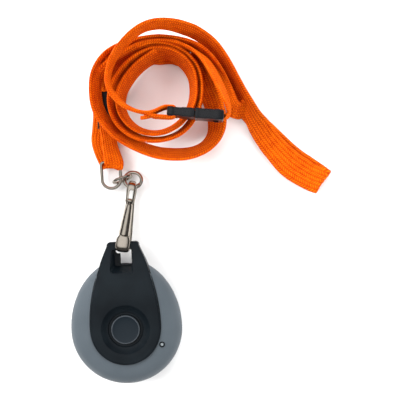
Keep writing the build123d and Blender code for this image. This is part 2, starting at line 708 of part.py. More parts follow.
def make_strap_ring():
    """D-shaped ring whose straight bar lies in the fold of the strap ends."""
    half, corner = DEE_HALF_WIDTH, DEE_CORNER
    rail = Curve() + [
        Line((corner - half, 0), (half - corner, 0)),
        CenterArc((half - corner, -corner), corner, 90, -90),
        Line((half, -corner), (half, -DEE_DEPTH)),
        CenterArc((0, -DEE_DEPTH), half, 0, -180),
        Line((-half, -DEE_DEPTH), (-half, -corner)),
        CenterArc((corner - half, -corner), corner, 180, -90),
    ]
    section = Plane(origin=(corner - half, 0, 0), z_dir=(1, 0, 0)) * Circle(DEE_WIRE / 2)
    ring = sweep(section, rail)
    return Pos(DEE_BAR[0], DEE_BAR[1], fold_centre_z()) * Rot(DEE_TILT, 0, 0) * ring


# Strap
def make_inner_turns():
    """Coil turns as quarter arcs that widen at a steady rate, as one strap."""
    pitch = (STRAP_THICK + STRAP_GAP) / cos(radians(STRAP_LEAN))
    tilt = degrees(atan2(COIL_RIGHT_BASE - COIL_LEFT_BASE, COIL_RIGHT_X - COIL_LEFT_X))
    plane_z = coil_base(COIL_CENTRE[0]) + strap_half_height()
    place = Pos(COIL_CENTRE[0], COIL_CENTRE[1], plane_z) * Rot(0, -tilt, 0)
    arcs = []
    centre = Vector(0, 0)
    radius = TURN_RADIUS
    angle = TURN_START
    for _ in range(TURN_QUARTERS):
        arcs.append(CenterArc(centre, radius, angle, 90))
        angle += 90
        step = Vector(cos(radians(angle)), sin(radians(angle))) * (pitch / 4)
        centre -= step
        radius += pitch / 4
    path = place * (Curve() + arcs)
    rail = Wire(path.edges())
    print("inner turns length", round(rail.length, 1), "turn gap", round(turn_gap(rail), 2))
    return sweep(strap_section(rail, -STRAP_LEAN), rail)


def turn_gap(rail):
    """Least clear gap between neighbouring turns, measured on points of the rail."""
    count = 360
    points = [rail @ (k / count) for k in range(count + 1)]
    step = rail.length / count
    least = 1e9
    for first in range(count):
        for second in range(first + 1, count + 1):
            if (second - first) * step > 20:
                least = min(least, (points[first] - points[second]).length)
    return least * cos(radians(STRAP_LEAN)) - STRAP_THICK


def make_plug_leg():
    """Strap to the plug: round its bar and back as the loose tail."""
    outward = buckle_point(-PLUG_LENGTH - 3.0, bar_offset())
    near = buckle_point(bar_u() + bar_offset(), bar_offset())
    far = buckle_point(bar_u() + bar_offset(), -bar_offset())
    back = buckle_point(-PLUG_LENGTH - 3.0, -bar_offset())
    points = PLUG_LEG + [outward, near, far, back, TAIL_END]
    radii = corner_radii(points)
    first_bend = len(PLUG_LEG)
    for corner in (first_bend, first_bend + 1):
        radii[corner] = bar_offset() * 0.97
    return strap_along(points, 0.0, "plug leg", radii, steady=True)


def bar_offset():
    """How far the strap's centre runs from the centre of a buckle bar."""
    return BAR_THICK / 2 + BAR_CLEARANCE + STRAP_THICK / 2


def bar_u():
    """Centre of the plug's bar along the buckle."""
    return -PLUG_LENGTH + BAR_THICK / 2


def buckle_point(u, v):
    """Point on the buckle's long axis frame, in the part's frame."""
    turn = radians(BUCKLE_TURN)
    x, y, z = BUCKLE_AT
    return (x + u * cos(turn) - v * sin(turn), y + u * sin(turn) + v * cos(turn), z)


def make_socket_leg():
    """Strap from the socket over the top of the coil to the crimp."""
    start = buckle_point(SOCKET_LENGTH + 0.4, 0)
    return strap_along([start] + SOCKET_LEG, -STRAP_LEAN, "socket leg", steady=True)


def loop_turn():
    """Direction of the strap end loop in plan."""
    run = Vector(*LOOP_HEAD) - Vector(*DEE_BAR)
    return degrees(atan2(run.Y, run.X)), run.length


def make_end_loop():
    """Both strap ends, folded over the ring and bunched there."""
    turn, length = loop_turn()
    gap = fold_gap()
    fold = Pos((gap + STRAP_THICK) / 2, 0, 0) * hairpin(length, CRIMP_WALL + 0.1, LAYER_GAP, gap)
    half, bunched = STRAP_WIDTH / 2 + 1, LOOP_BUNCHED / 2
    fold &= prism([
        (10, -bunched), (10, bunched), (-3, bunched), (-CRIMP_START, half),
        (-length - 5, half), (-length - 5, -half), (-CRIMP_START, -half), (-3, -bunched),
    ], -5, 20)
    return Pos(DEE_BAR[0], DEE_BAR[1], 0) * Rot(0, 0, turn + 180) * fold


def make_crimp():
    """Clamp round both strap layers, with pressed ribs."""
    turn, length = loop_turn()
    tall = 2 * (CRIMP_WALL + 0.1) + 2 * STRAP_THICK + LAYER_GAP
    wide = STRAP_WIDTH + 2 * CRIMP_SIDE
    clamp = block((CRIMP_LENGTH, wide, tall), (CRIMP_START + CRIMP_LENGTH / 2, 0), 0)
    clamp = fillet(clamp.edges().filter_by(Axis.X), 0.8)
    clamp -= block(
        (CRIMP_LENGTH + 2, STRAP_WIDTH + 0.3, tall - 2 * CRIMP_WALL),
        (CRIMP_START + CRIMP_LENGTH / 2, 0), CRIMP_WALL,
    )
    return Pos(DEE_BAR[0], DEE_BAR[1], 0) * Rot(0, 0, turn) * clamp


def make_far_fold():
    """Flat doubled end of the neck loop."""
    start, end = Vector(*FAR_FOLD[0]), Vector(*FAR_FOLD[1])
    run = end - start
    fold = hairpin(run.length, 0, LAYER_GAP, LAYER_GAP)
    return Pos(end.X, end.Y, 0) * Rot(0, 0, degrees(atan2(run.Y, run.X))) * fold


# Breakaway buckle
def buckle_body(u0, u1, thick):
    """Rounded block of a buckle half, in the buckle's frame."""
    body = Pos((u0 + u1) / 2, 0, 0) * Box(u1 - u0, thick, BUCKLE_HEIGHT)
    return fillet(body.edges().filter_by(Axis.X) + body.edges().filter_by(Axis.Y), BUCKLE_EDGE)


def bar_window(bar_centre, side):
    """Opening beside a buckle's bar that the strap passes through."""
    middle = bar_centre + side * (BAR_THICK + BAR_SLOT) / 2
    return Pos(middle, 0, 0) * Box(BAR_SLOT, 20, STRAP_WIDTH + 0.5)


def place_buckle(shape):
    """Move a buckle piece from its own frame to where it lies."""
    return Pos(*BUCKLE_AT) * Rot(0, 0, BUCKLE_TURN) * shape


def make_socket():
    """Socket half with its cavity and strap bar."""
    body = buckle_body(0, SOCKET_LENGTH, SOCKET_THICK)
    inner_height = BUCKLE_HEIGHT - 2 * SOCKET_WALL
    inner_thick = SOCKET_THICK - 2 * SOCKET_WALL
    body -= Pos(SOCKET_DEPTH / 2 - 0.5, 0, 0) * Box(SOCKET_DEPTH + 1, inner_thick, inner_height)
    return place_buckle(body - bar_window(SOCKET_LENGTH - BAR_THICK / 2, -1))


def make_plug():
    """Plug half with strap bar, two snap arms and a centre tongue."""
    body = buckle_body(-PLUG_LENGTH, -0.15, PLUG_THICK)
    body -= bar_window(bar_u(), 1)
    waist = Box(2 * (BAR_THICK + BAR_SLOT), 20, STRAP_WIDTH + 0.5)
    waist -= Box(99, BAR_WAIST, 99)
    body -= Pos(-PLUG_LENGTH, 0, 0) * waist
    prong_thick = SOCKET_THICK - 2 * SOCKET_WALL - 2 * PRONG_GAP
    reach = BUCKLE_HEIGHT / 2 - SOCKET_WALL - PRONG_GAP
    tongue = Pos(PRONG_LENGTH / 2 - 0.5, 0, 0) * Box(PRONG_LENGTH + 1, prong_thick, 2.0)
    body += tongue
    for side in (-1, 1):
        arm = Pos(PRONG_LENGTH / 2 - 0.5, 0, side * (reach - 0.8))
        body += arm * Box(PRONG_LENGTH + 1, prong_thick, 1.6)
    return place_buckle(body)


def main():
    """Build every piece and write it."""
    os.makedirs("parts", exist_ok=True)
    board_top = BOARD_UNDER_Z + BOARD_THICK
    pieces = {
        "rear_housing": make_rear_housing(),
        "front_housing": make_front_housing(),
        "housing_gasket": gasket_ring(
            SEAM_Z - SEAM_GAP / 2 - GASKET_DEPTH + 0.05, SEAM_Z - SEAM_GAP / 2, 0),
        "front_bezel": make_bezel(),
        "push_button": make_button(),
        "button_seal": make_seal(),
        "tact_switch": make_switch(),
        "switch_stem": make_stem(),
        "circuit_board": make_board(),
        "radio_shield": block(SHIELD_SIZE, (0, SHIELD_Y), board_top),
        "microcontroller": block(
            (CONTROLLER_SIDE, CONTROLLER_SIDE, CONTROLLER_HEIGHT), CONTROLLER_AT, board_top),
        "crystal": block(CRYSTAL_SIZE, CRYSTAL_AT, board_top),
        "board_passives": make_passives(),
        "loop_antenna": make_antenna(),
        "status_led": block((LED_SIDE, LED_SIDE, LED_HEIGHT), LAMP_AT, board_top),
        "light_pipe": make_light_pipe(),
        "light_pipe_collar": make_lamp_ring(),
        "coin_battery": make_battery(),
        "battery_clip": make_clip(),
        "housing_screws": make_screws(),
        "hook_frame": make_hook_frame(),
        "hook_gate": make_gate(),
        "gate_pin": make_pin(),
        "hook_ring": make_hook_ring(),
        "connecting_link": make_link(),
        "strap_ring": make_strap_ring(),
        "strap_end_loop": make_end_loop(),
        "strap_crimp": make_crimp(),
        "strap_inner_turns": make_inner_turns(),
        "strap_outer_turn": strap_along(OUTER_TURN, -STRAP_LEAN, "outer turn"),
        "strap_upper_leg": strap_along(UPPER_LEG, -STRAP_LEAN, "upper leg"),
        "strap_plug_leg": make_plug_leg(),
        "strap_socket_leg": make_socket_leg(),
        "strap_far_fold": make_far_fold(),
        "strap_crossing": flat_strap(CROSSING[0], CROSSING[1], 0),
        "buckle_socket": make_socket(),
        "buckle_plug": make_plug(),
    }
    for name, shape in pieces.items():
        save(shape, name)


main()
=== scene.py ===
"""Panic alarm pendant on its neck lanyard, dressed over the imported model."""
import json
from math import cos, pi, radians, sin, sqrt

import bmesh
import bpy
from mathutils import Matrix, Vector, noise


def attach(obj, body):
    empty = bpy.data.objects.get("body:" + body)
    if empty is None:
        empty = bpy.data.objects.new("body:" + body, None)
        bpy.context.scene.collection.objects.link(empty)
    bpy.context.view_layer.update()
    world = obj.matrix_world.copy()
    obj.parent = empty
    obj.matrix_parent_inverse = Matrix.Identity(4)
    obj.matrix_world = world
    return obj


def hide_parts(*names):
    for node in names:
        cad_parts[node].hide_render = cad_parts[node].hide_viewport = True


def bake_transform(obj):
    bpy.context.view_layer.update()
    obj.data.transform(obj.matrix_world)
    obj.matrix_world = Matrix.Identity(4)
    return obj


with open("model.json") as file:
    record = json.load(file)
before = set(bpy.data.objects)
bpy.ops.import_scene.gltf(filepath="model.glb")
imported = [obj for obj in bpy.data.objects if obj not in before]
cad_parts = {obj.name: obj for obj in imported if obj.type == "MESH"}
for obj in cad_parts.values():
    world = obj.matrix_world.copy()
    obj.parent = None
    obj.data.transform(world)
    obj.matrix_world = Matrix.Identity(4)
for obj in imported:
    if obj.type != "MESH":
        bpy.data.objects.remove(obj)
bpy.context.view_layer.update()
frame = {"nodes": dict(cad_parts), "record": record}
MM = 0.001
UP = Vector((0, 0, 1))
SHARP_ANGLE = radians(38)
PLAITS = 7.0
# Sizes and places of the pieces are in millimetres.
DISH_CENTRE_Y = -1.1

# Materials, with lengths in metres
NOISE_RANGE = (0.3, 0.7)
GRAIN_SCALE = 2600.0
GRAIN_DEPTH = 0.00005
CAP_BLACK = (0.005, 0.009, 0.013)
# The rim grey, radius, core and fade paint a highlight: a fine light line round the button's rim.
RIM_HIGHLIGHT_GREY = (0.07, 0.078, 0.088)
RIM_RADIUS = 0.0054
RIM_CORE, RIM_FADE = 0.00005, 0.0003
# The dark braid colour serves both random patchy tone and painted shade in the weave's grooves.
BRAID_DARK_AND_SHADE = (0.5, 0.036, 0.001)
BRAID_BRIGHT = (1.0, 0.19, 0.004)
YARNS_PER_WIDTH = 11.0
BRAID_RELIEF = 0.0004


class Finish:
    """A principled material with short calls for its nodes."""

    def __init__(self, name, colour, roughness, metallic=0.0, **sockets):
        self.mat = bpy.data.materials.new(name)
        self.mat.use_nodes = True
        self.nodes = self.mat.node_tree.nodes
        self.shader = self.nodes["Principled BSDF"]
        self.put("Base Color", (*colour, 1.0))
        self.put("Roughness", roughness)
        self.put("Metallic", metallic)
        for socket, value in sockets.items():
            self.put(socket.replace("_", " "), value)

    def put(self, socket, value):
        """Set or link one socket of the shader."""
        self.feed(self.shader.inputs[socket], value)

    def feed(self, socket, value):
        """Set a socket to a value, or link it to an output."""
        if isinstance(value, bpy.types.NodeSocket):
            self.mat.node_tree.links.new(value, socket)
        else:
            socket.default_value = value

    def coords(self, kind="Object"):
        """A texture coordinate."""
        return self.nodes.new("ShaderNodeTexCoord").outputs[kind]

    def split(self, vector):
        """The three parts of a vector."""
        node = self.nodes.new("ShaderNodeSeparateXYZ")
        self.feed(node.inputs[0], vector)
        return node.outputs

    def math(self, operation, first, second=0.0, third=0.0):
        """One math node."""
        node = self.nodes.new("ShaderNodeMath")
        node.operation = operation
        for socket, value in zip(node.inputs, (first, second, third)):
            self.feed(socket, value)
        return node.outputs[0]

    def noise(self, vector, scale, detail=2.0, roughness=0.5):
        """Noise value, about 0.5 on average."""
        node = self.nodes.new("ShaderNodeTexNoise")
        self.feed(node.inputs["Vector"], vector)
        node.inputs["Scale"].default_value = scale
        node.inputs["Detail"].default_value = detail
        node.inputs["Roughness"].default_value = roughness
        return node.outputs["Fac"]

    def span(self, value, low, high, to_low, to_high):
        """Map a range of values to another."""
        node = self.nodes.new("ShaderNodeMapRange")
        for socket, number in zip(node.inputs, (value, low, high, to_low, to_high)):
            self.feed(socket, number)
        return node.outputs[0]

    def graded(self, value, to_low, to_high):
        """Map the usual range of a noise value to another."""
        return self.span(value, *NOISE_RANGE, to_low, to_high)

    def mix(self, factor, first, second):
        """Mix of two colours."""
        node = self.nodes.new("ShaderNodeMix")
        node.data_type = "RGBA"
        self.feed(node.inputs["Factor"], factor)
        for index, colour in ((6, first), (7, second)):
            if isinstance(colour, tuple):
                colour = (*colour, 1.0)
            self.feed(node.inputs[index], colour)
        return node.outputs[2]

    def bump(self, height, distance, strength=1.0):
        """Bump from a height in the shader."""
        node = self.nodes.new("ShaderNodeBump")
        node.inputs["Strength"].default_value = strength
        node.inputs["Distance"].default_value = distance
        self.feed(node.inputs["Height"], height)
        self.put("Normal", node.outputs[0])


def moulded(name, colour, worn, roughness, level=0.5):
    """Textured plastic with a fine grain, faint mottling and uneven gloss."""
    finish = Finish(name, colour, roughness, Specular_IOR_Level=level)
    place = finish.coords()
    fine = finish.noise(place, GRAIN_SCALE, 3.0, 0.6)
    broad = finish.noise(place, 90.0, 2.0)
    finish.put("Base Color", finish.mix(finish.graded(broad, 0.0, 1.0), colour, worn))
    finish.put("Roughness", finish.graded(fine, roughness - 0.05, roughness + 0.07))
    finish.bump(fine, GRAIN_DEPTH, 0.5)
    return finish.mat


def button_face():
    """Dark plastic with a painted highlight: a fine light line round its rim."""
    finish = Finish("button_plastic", CAP_BLACK, 0.36, Specular_IOR_Level=0.25)
    place = finish.coords()
    x, y, _ = finish.split(place)
    y = finish.math("ADD", y, -DISH_CENTRE_Y * MM)
    radius = finish.math("SQRT", finish.math(
        "MULTIPLY_ADD", x, x, finish.math("MULTIPLY", y, y)))
    off = finish.math("ABSOLUTE", finish.math("SUBTRACT", radius, RIM_RADIUS))
    fine = finish.noise(place, 1500.0, 3.0, 0.6)
    # Painted highlight: a light line at the rim's radius, broken up by the fine grain.
    line = finish.math("MULTIPLY", finish.span(off, RIM_CORE, RIM_FADE, 0.9, 0.0),
                       finish.graded(fine, 0.5, 1.0))
    finish.put("Base Color", finish.mix(line, CAP_BLACK, RIM_HIGHLIGHT_GREY))
    finish.bump(fine, GRAIN_DEPTH, 0.5)
    return finish.mat


def metal(name, colour, roughness, scratch=0.02):
    """Plated or bare metal with fine handling marks."""
    finish = Finish(name, colour, roughness, 1.0)
    place = finish.coords()
    broad = finish.noise(place, 260.0, 3.0)
    finish.put("Roughness", finish.graded(broad, roughness, roughness + 2 * scratch))
    waves = finish.noise(place, 330.0, 2.0)
    scuffs = finish.noise(place, 900.0, 2.0)
    finish.bump(finish.math("MULTIPLY_ADD", waves, 6.0, scuffs), 0.00003, 0.5)
    return finish.mat


def braid():
    """Flat braided strap: lengthwise plaits of slanting yarns, with painted shade darkening the
    grooves.
    """
    finish = Finish("strap_braid", (0.9, 0.1, 0.004), 0.75, Specular_IOR_Level=0.05,
                    Sheen_Weight=0.03, Sheen_Roughness=0.5, Sheen_Tint=(1.0, 0.45, 0.15, 1.0))
    across, along, _ = finish.split(finish.coords("UV"))
    plait = finish.math("MULTIPLY", across, PLAITS)
    inside = finish.math("FRACT", plait)
    parity = finish.math("MODULO", finish.math("FLOOR", plait), 2.0)
    slant = finish.math("MULTIPLY_ADD", parity, -2.0, 1.0)
    yarn_place = finish.math("MULTIPLY_ADD", along, YARNS_PER_WIDTH,
                             finish.math("MULTIPLY", slant, inside))
    yarn = finish.math("MULTIPLY", finish.math("PINGPONG", yarn_place, 0.5), 2.0)
    groove = finish.math("MULTIPLY", finish.math("PINGPONG", plait, 0.5), 2.0)
    height = finish.math("SMOOTH_MIN", yarn, finish.math("MULTIPLY", groove, 1.4), 0.4)
    patchy = finish.noise(finish.coords(), 420.0, 3.0)
    # Painted shade: the colour darkens where yarns and grooves sit low, on top of random patchy
    # tone.
    tone_and_groove_shade = finish.math("MULTIPLY_ADD", patchy, 0.5, finish.math("MULTIPLY", height, 0.6))
    finish.put("Base Color", finish.mix(
        finish.span(tone_and_groove_shade, 0.25, 0.8, 0.0, 1.0), BRAID_DARK_AND_SHADE, BRAID_BRIGHT))
    finish.bump(height, BRAID_RELIEF, 1.0)
    return finish.mat


def clear_lens():
    """Clear moulded lens."""
    finish = Finish("clear_lens", (0.3, 0.34, 0.36), 0.12, IOR=1.5, Transmission_Weight=0.35)
    finish.put("Roughness", finish.graded(finish.noise(finish.coords(), 500.0), 0.1, 0.2))
    return finish.mat


def solder_mask():
    """Green board with faint copper shapes under the mask."""
    finish = Finish("solder_mask", (0.01, 0.12, 0.05), 0.35, Coat_Weight=0.3)
    tracks = finish.math("GREATER_THAN", finish.noise(finish.coords(), 350.0, 0.0), 0.56)
    finish.put("Base Color", finish.mix(tracks, (0.008, 0.10, 0.04), (0.02, 0.2, 0.08)))
    return finish.mat


# Colour, worn colour, roughness and specular level.
PLASTICS = {
    "grey_shell": ((0.066, 0.081, 0.094), (0.076, 0.092, 0.106), 0.52, 0.35),
    "black_plastic": ((0.0025, 0.0042, 0.006), (0.005, 0.008, 0.0105), 0.42, 0.19),
    "buckle_plastic": ((0.004, 0.004, 0.005), (0.007, 0.008, 0.01), 0.3, 0.3),
    "silicone": ((0.05, 0.05, 0.055), (0.07, 0.07, 0.075), 0.6),
    "chip": ((0.012, 0.012, 0.013), (0.02, 0.02, 0.02), 0.45),
    "led_body": ((0.7, 0.7, 0.62), (0.75, 0.75, 0.68), 0.4),
}
# Colour, roughness, and half of what handling marks add to it.
METALS = {
    "nickel": ((0.43, 0.385, 0.33), 0.13),
    "blackened_steel": ((0.018, 0.018, 0.02), 0.38),
    "tin_plate": ((0.6, 0.6, 0.58), 0.25, 0.05),
    "copper_trace": ((0.8, 0.5, 0.22), 0.3, 0.04),
    "steel": ((0.5, 0.5, 0.51), 0.3, 0.05),
}
MATERIALS = {
    "button_plastic": button_face(), "strap": braid(), "lens": clear_lens(),
    "board": solder_mask(),
}
MATERIALS.update({name: moulded(name, *values) for name, values in PLASTICS.items()})
MATERIALS.update({name: metal(name, *values) for name, values in METALS.items()})
SLOT_OF = {part["node"]: part["material_slot"] for part in frame["record"]["subparts"]}


def dress(obj, slot):
    """Give an object one material slot's finish."""
    obj.data.materials.clear()
    obj.data.materials.append(MATERIALS[slot])


for node_name, node_object in frame["nodes"].items():
    dress(node_object, SLOT_OF[node_name])


# Mesh tools
def add_object(name, data):
    """A new object in the scene."""
    obj = bpy.data.objects.new(name, data)
    bpy.context.scene.collection.objects.link(obj)
    return obj


def face_outwards(mesh):
    """Turn the faces of a closed mesh outwards."""
    build = bmesh.new()
    build.from_mesh(mesh)
    bmesh.ops.recalc_face_normals(build, faces=build.faces)
    build.to_mesh(mesh)
    build.free()


def smooth(mesh):
    """Smooth shading, broken at sharp edges."""
    mesh.shade_smooth()
    mesh.set_sharp_from_angle(angle=SHARP_ANGLE)


def make_piece(name, body, slot, points, faces, uvs=None, replaces=()):
    """A smooth mesh piece, with points in metres, that rides on a body."""
    mesh = bpy.data.meshes.new(name)
    mesh.from_pydata([tuple(point) for point in points], [], faces)
    if uvs:
        layer = mesh.uv_layers.new(name="UVMap")
        for polygon in mesh.polygons:
            for loop in polygon.loop_indices:
                layer.data[loop].uv = uvs[polygon.index][loop - polygon.loop_start]
    mesh.validate()
    face_outwards(mesh)
    smooth(mesh)
    piece = add_object(name, mesh)
    dress(piece, slot)
    if body:
        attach(piece, body)
    if replaces:
        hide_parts(*replaces)
    return piece


def rings_to_faces(count, around, loop=False):
    """Faces between successive rings of points, and over both ends unless they form a loop."""
    faces = []
    for ring in range(count if loop else count - 1):
        low, high = ring * around, ((ring + 1) % count) * around
        for step in range(around):
            after = (step + 1) % around
            faces.append((low + step, low + after, high + after, high + step))
    if not loop:
        faces.append(tuple(range(around - 1, -1, -1)))
        faces.append(tuple(range((count - 1) * around, count * around)))
    return faces


def ring_points(rings):
    """The points of all rings, taken from millimetres to metres."""
    return [Vector(point) * MM for ring in rings for point in ring]


def loft(name, body, slot, rings, replaces=(), loop=False):
    """A piece through rings of points in millimetres."""
    faces = rings_to_faces(len(rings), len(rings[0]), loop)
    return make_piece(name, body, slot, ring_points(rings), faces, None, replaces)


def tool(rings):
    """A closed solid through rings in millimetres, to cut with."""
    mesh = bpy.data.meshes.new("tool")
    points = [tuple(point) for point in ring_points(rings)]
    mesh.from_pydata(points, [], rings_to_faces(len(rings), len(rings[0])))
    face_outwards(mesh)
    return add_object("tool", mesh)


def cut(piece, cutter):
    """Subtract one object from a piece and drop the cutter."""
    modifier = piece.modifiers.new("cut", "BOOLEAN")
    modifier.operation = "DIFFERENCE"
    modifier.solver = "EXACT"
    modifier.object = cutter
    bpy.context.view_layer.update()
    graph = bpy.context.evaluated_depsgraph_get()
    mesh = bpy.data.meshes.new_from_object(piece.evaluated_get(graph))
    piece.modifiers.clear()
    old = piece.data
    piece.data = mesh
    mesh.name = piece.name
    bpy.data.meshes.remove(old)
    bpy.data.objects.remove(cutter)
    smooth(piece.data)


def rounded_rectangle(x0, x1, y0, y1, corner, count):
    """Points round a rectangle, with this many on each rounded corner."""
    points = []
    for x, y, start in ((x1 - corner, y1 - corner, 0), (x0 + corner, y1 - corner, 90),
                        (x0 + corner, y0 + corner, 180), (x1 - corner, y0 + corner, 270)):
        for k in range(count):
            angle = radians(start + 90 * k / (count - 1))
            points.append((x + corner * cos(angle), y + corner * sin(angle)))
    return points


def heads(points):
    """Direction of travel at each point of a line."""
    last = len(points) - 1
    return [(points[min(k + 1, last)] - points[max(k - 1, 0)]).normalized()
            for k in range(last + 1)]


def along_route(rows):
    """Points of the NURBS spline that has these control points."""
    curve = bpy.data.curves.new("route", "CURVE")
    curve.dimensions = "3D"
    curve.resolution_u = ROUTE_STEPS
    spline = curve.splines.new("NURBS")
    spline.points.add(len(rows) - 1)
    for knot, row in zip(spline.points, rows):
        knot.co = (row[0], row[1], row[2], 1.0)
    spline.order_u = 3
    spline.use_endpoint_u = True
    spline.resolution_u = ROUTE_STEPS
    holder = add_object("route", curve)
    bpy.context.view_layer.update()
    mesh = bpy.data.meshes.new_from_object(holder)
    points = [vertex.co.copy() for vertex in mesh.vertices]
    bpy.data.objects.remove(holder)
    bpy.data.meshes.remove(mesh)
    bpy.data.curves.remove(curve)
    return points


# Camera, light and floor, in metres
CAMERA_AT = (0.0315, 0.0486, 0.350)
CAMERA_TURN = radians(-2.5)
LENS_MM = 77.4
SENSOR_MM = 36
FLOOR_REACH = 3.0
FLOOR_TONE = 0.93
LIGHT_AIM = Vector((0.03, 0.05, 0))
# Name, place, size and power.
SOFTBOXES = [
    ("key_left", (-0.72, 0.25, 0.45), 0.6, 12.0),
    ("fill_top", (0.15, 0.85, 0.45), 0.6, 8.6),
    ("fill_right", (0.8, -0.05, 0.42), 0.6, 7.1),
    ("fill_front", (-0.05, -0.75, 0.45), 0.5, 3.8),
]
# The room is brightest along this axis and dims as directions turn away from it.
SKY_AXIS = (-0.16, 0.2, 0.967)
# Cosines to that axis between which the light rises, and its strength at both.
SKY_REACH = (0.68, 1.0)
SKY_STRENGTH = (0.1, 1.3)


def place_camera():
    """Camera straight above the part."""
    camera = add_object("camera", bpy.data.cameras.new("camera"))
    camera.location = CAMERA_AT
    camera.rotation_euler = (0, 0, CAMERA_TURN)
    camera.data.lens = LENS_MM
    camera.data.sensor_width = SENSOR_MM
    camera.data.clip_start = 0.005
    bpy.context.scene.camera = camera
    bpy.context.scene.view_settings.view_transform = "Standard"


def lay_floor():
    """Plain pale floor at the height that the part rests on."""
    mesh = bpy.data.meshes.new("floor")
    reach = FLOOR_REACH
    mesh.from_pydata(
        [(-reach, -reach, 0), (reach, -reach, 0), (reach, reach, 0), (-reach, reach, 0)],
        [], [(0, 1, 2, 3)])
    mesh.materials.append(Finish("floor", (FLOOR_TONE, FLOOR_TONE, FLOOR_TONE), 0.9).mat)
    add_object("floor", mesh)


def softbox(name, place, size, power):
    """Square area light aimed at the part, which leaves no glint of its own."""
    light = bpy.data.lights.new(name, "AREA")
    light.energy = power
    light.size = size
    lamp = add_object(name, light)
    lamp.location = place
    aim = LIGHT_AIM - Vector(place)
    lamp.rotation_euler = aim.to_track_quat("-Z", "Y").to_euler()
    lamp.visible_glossy = False


def make_sky():
    """White light from all round, strongest from overhead."""
    world = bpy.data.worlds.new("world")
    world.use_nodes = True
    nodes, links = world.node_tree.nodes, world.node_tree.links
    background = nodes["Background"]
    background.inputs["Color"].default_value = (1, 1, 1, 1)
    direction = nodes.new("ShaderNodeTexCoord")
    height = nodes.new("ShaderNodeVectorMath")
    height.operation = "DOT_PRODUCT"
    height.inputs[1].default_value = SKY_AXIS
    ramp = nodes.new("ShaderNodeMapRange")
    ramp.interpolation_type = "SMOOTHSTEP"
    for socket, value in zip(ramp.inputs[1:], SKY_REACH + SKY_STRENGTH):
        socket.default_value = value
    links.new(direction.outputs["Generated"], height.inputs[0])
    links.new(height.outputs["Value"], ramp.inputs["Value"])
    links.new(ramp.outputs[0], background.inputs["Strength"])
    bpy.context.scene.world = world


place_camera()
lay_floor()
for box in SOFTBOXES:
    softbox(*box)
make_sky()

# Strap
STRAP_WIDTH = 10.0
STRAP_HALF_THICK = 0.7
SIDE_POINTS = 15
ROUTE_STEPS = 8
PLAIT_RELIEF = 0.07
EDGE_REACH = 10
# How fast and how far the strap's cupping and its width wander along it.
CUP_PACE, CUP_DEPTH = 0.09, 0.12
WIDTH_PACE, WIDTH_SHARE = 0.2, 0.02


def strap_section():
    """Across and through positions round a strap, with faint lengthwise plaits."""
    top = []
    for k in range(SIDE_POINTS):
        share = -1 + 2 * k / (SIDE_POINTS - 1)
        edge = sqrt(max(0.0, 1 - abs(share) ** 7))
        ridge = PLAIT_RELIEF * cos(PLAITS * pi * share) * edge
        top.append((share, STRAP_HALF_THICK * edge * (1 - 0.12 * share * share) + ridge))
    under = [(share, -through) for share, through in reversed(top[1:-1])]
    return top + under


SECTION = strap_section()


def edge_tips(rows):
    """A point beside each row, in the direction of the strap's edge there."""
    places = [Vector(row[:3]) for row in rows]
    tips = []
    for row, place, ahead in zip(rows, places, heads(places)):
        if isinstance(row[3], tuple):
            edge = Vector(row[3]).normalized()
        else:
            left = UP.cross(ahead).normalized()
            lean = radians(row[3])
            edge = ahead.cross(left) * cos(lean) + left * sin(lean)
        tips.append(place + edge * EDGE_REACH)
    return tips


def strap_uvs(runs):
    """UVs of a strap's faces, in the order of rings_to_faces."""
    across = [share * 0.5 + 0.5 for share, _ in SECTION]
    steps = list(zip(across, across[1:] + across[:1]))
    uvs = []
    for near, far in zip(runs, runs[1:]):
        uvs += [((a, near), (b, near), (b, far), (a, far)) for a, b in steps]
    uvs.append(tuple((a, runs[0]) for a in reversed(across)))
    uvs.append(tuple((a, runs[-1]) for a in across))
    return uvs


def strap(name, rows, replaces, body="lanyard"):
    """Braided strap along given rows of x, y, z, lean or edge direction, and width."""
    line = along_route(rows)
    edge_line = along_route(edge_tips(rows))
    width_line = along_route([(row[4] if len(row) > 4 else 1.0, 0, 0) for row in rows])
    points, runs, run = [], [], 0.0
    seed = sum(ord(letter) for letter in name)
    for index, (here, ahead) in enumerate(zip(line, heads(line))):
        edge = edge_line[index] - here
        edge = (edge - ahead * edge.dot(ahead)).normalized()
        face = ahead.cross(edge).normalized()
        if index:
            run += (here - line[index - 1]).length
        wander = noise.noise(Vector((run * CUP_PACE, seed, 0))) * CUP_DEPTH
        half = STRAP_WIDTH / 2 * width_line[index].x
        half *= 1 + WIDTH_SHARE * noise.noise(Vector((run * WIDTH_PACE, seed, 5)))
        for share, through in SECTION:
            cup = wander * (1 - share * share)
            points.append((here + edge * share * half + face * (through + cup)) * MM)
        runs.append(run / STRAP_WIDTH)
    faces = rings_to_faces(len(line), len(SECTION))
    piece = make_piece(name, body, "strap", points, faces, strap_uvs(runs), replaces)
    return piece


FAR_SIDE = (0.654, 0.756, 0)

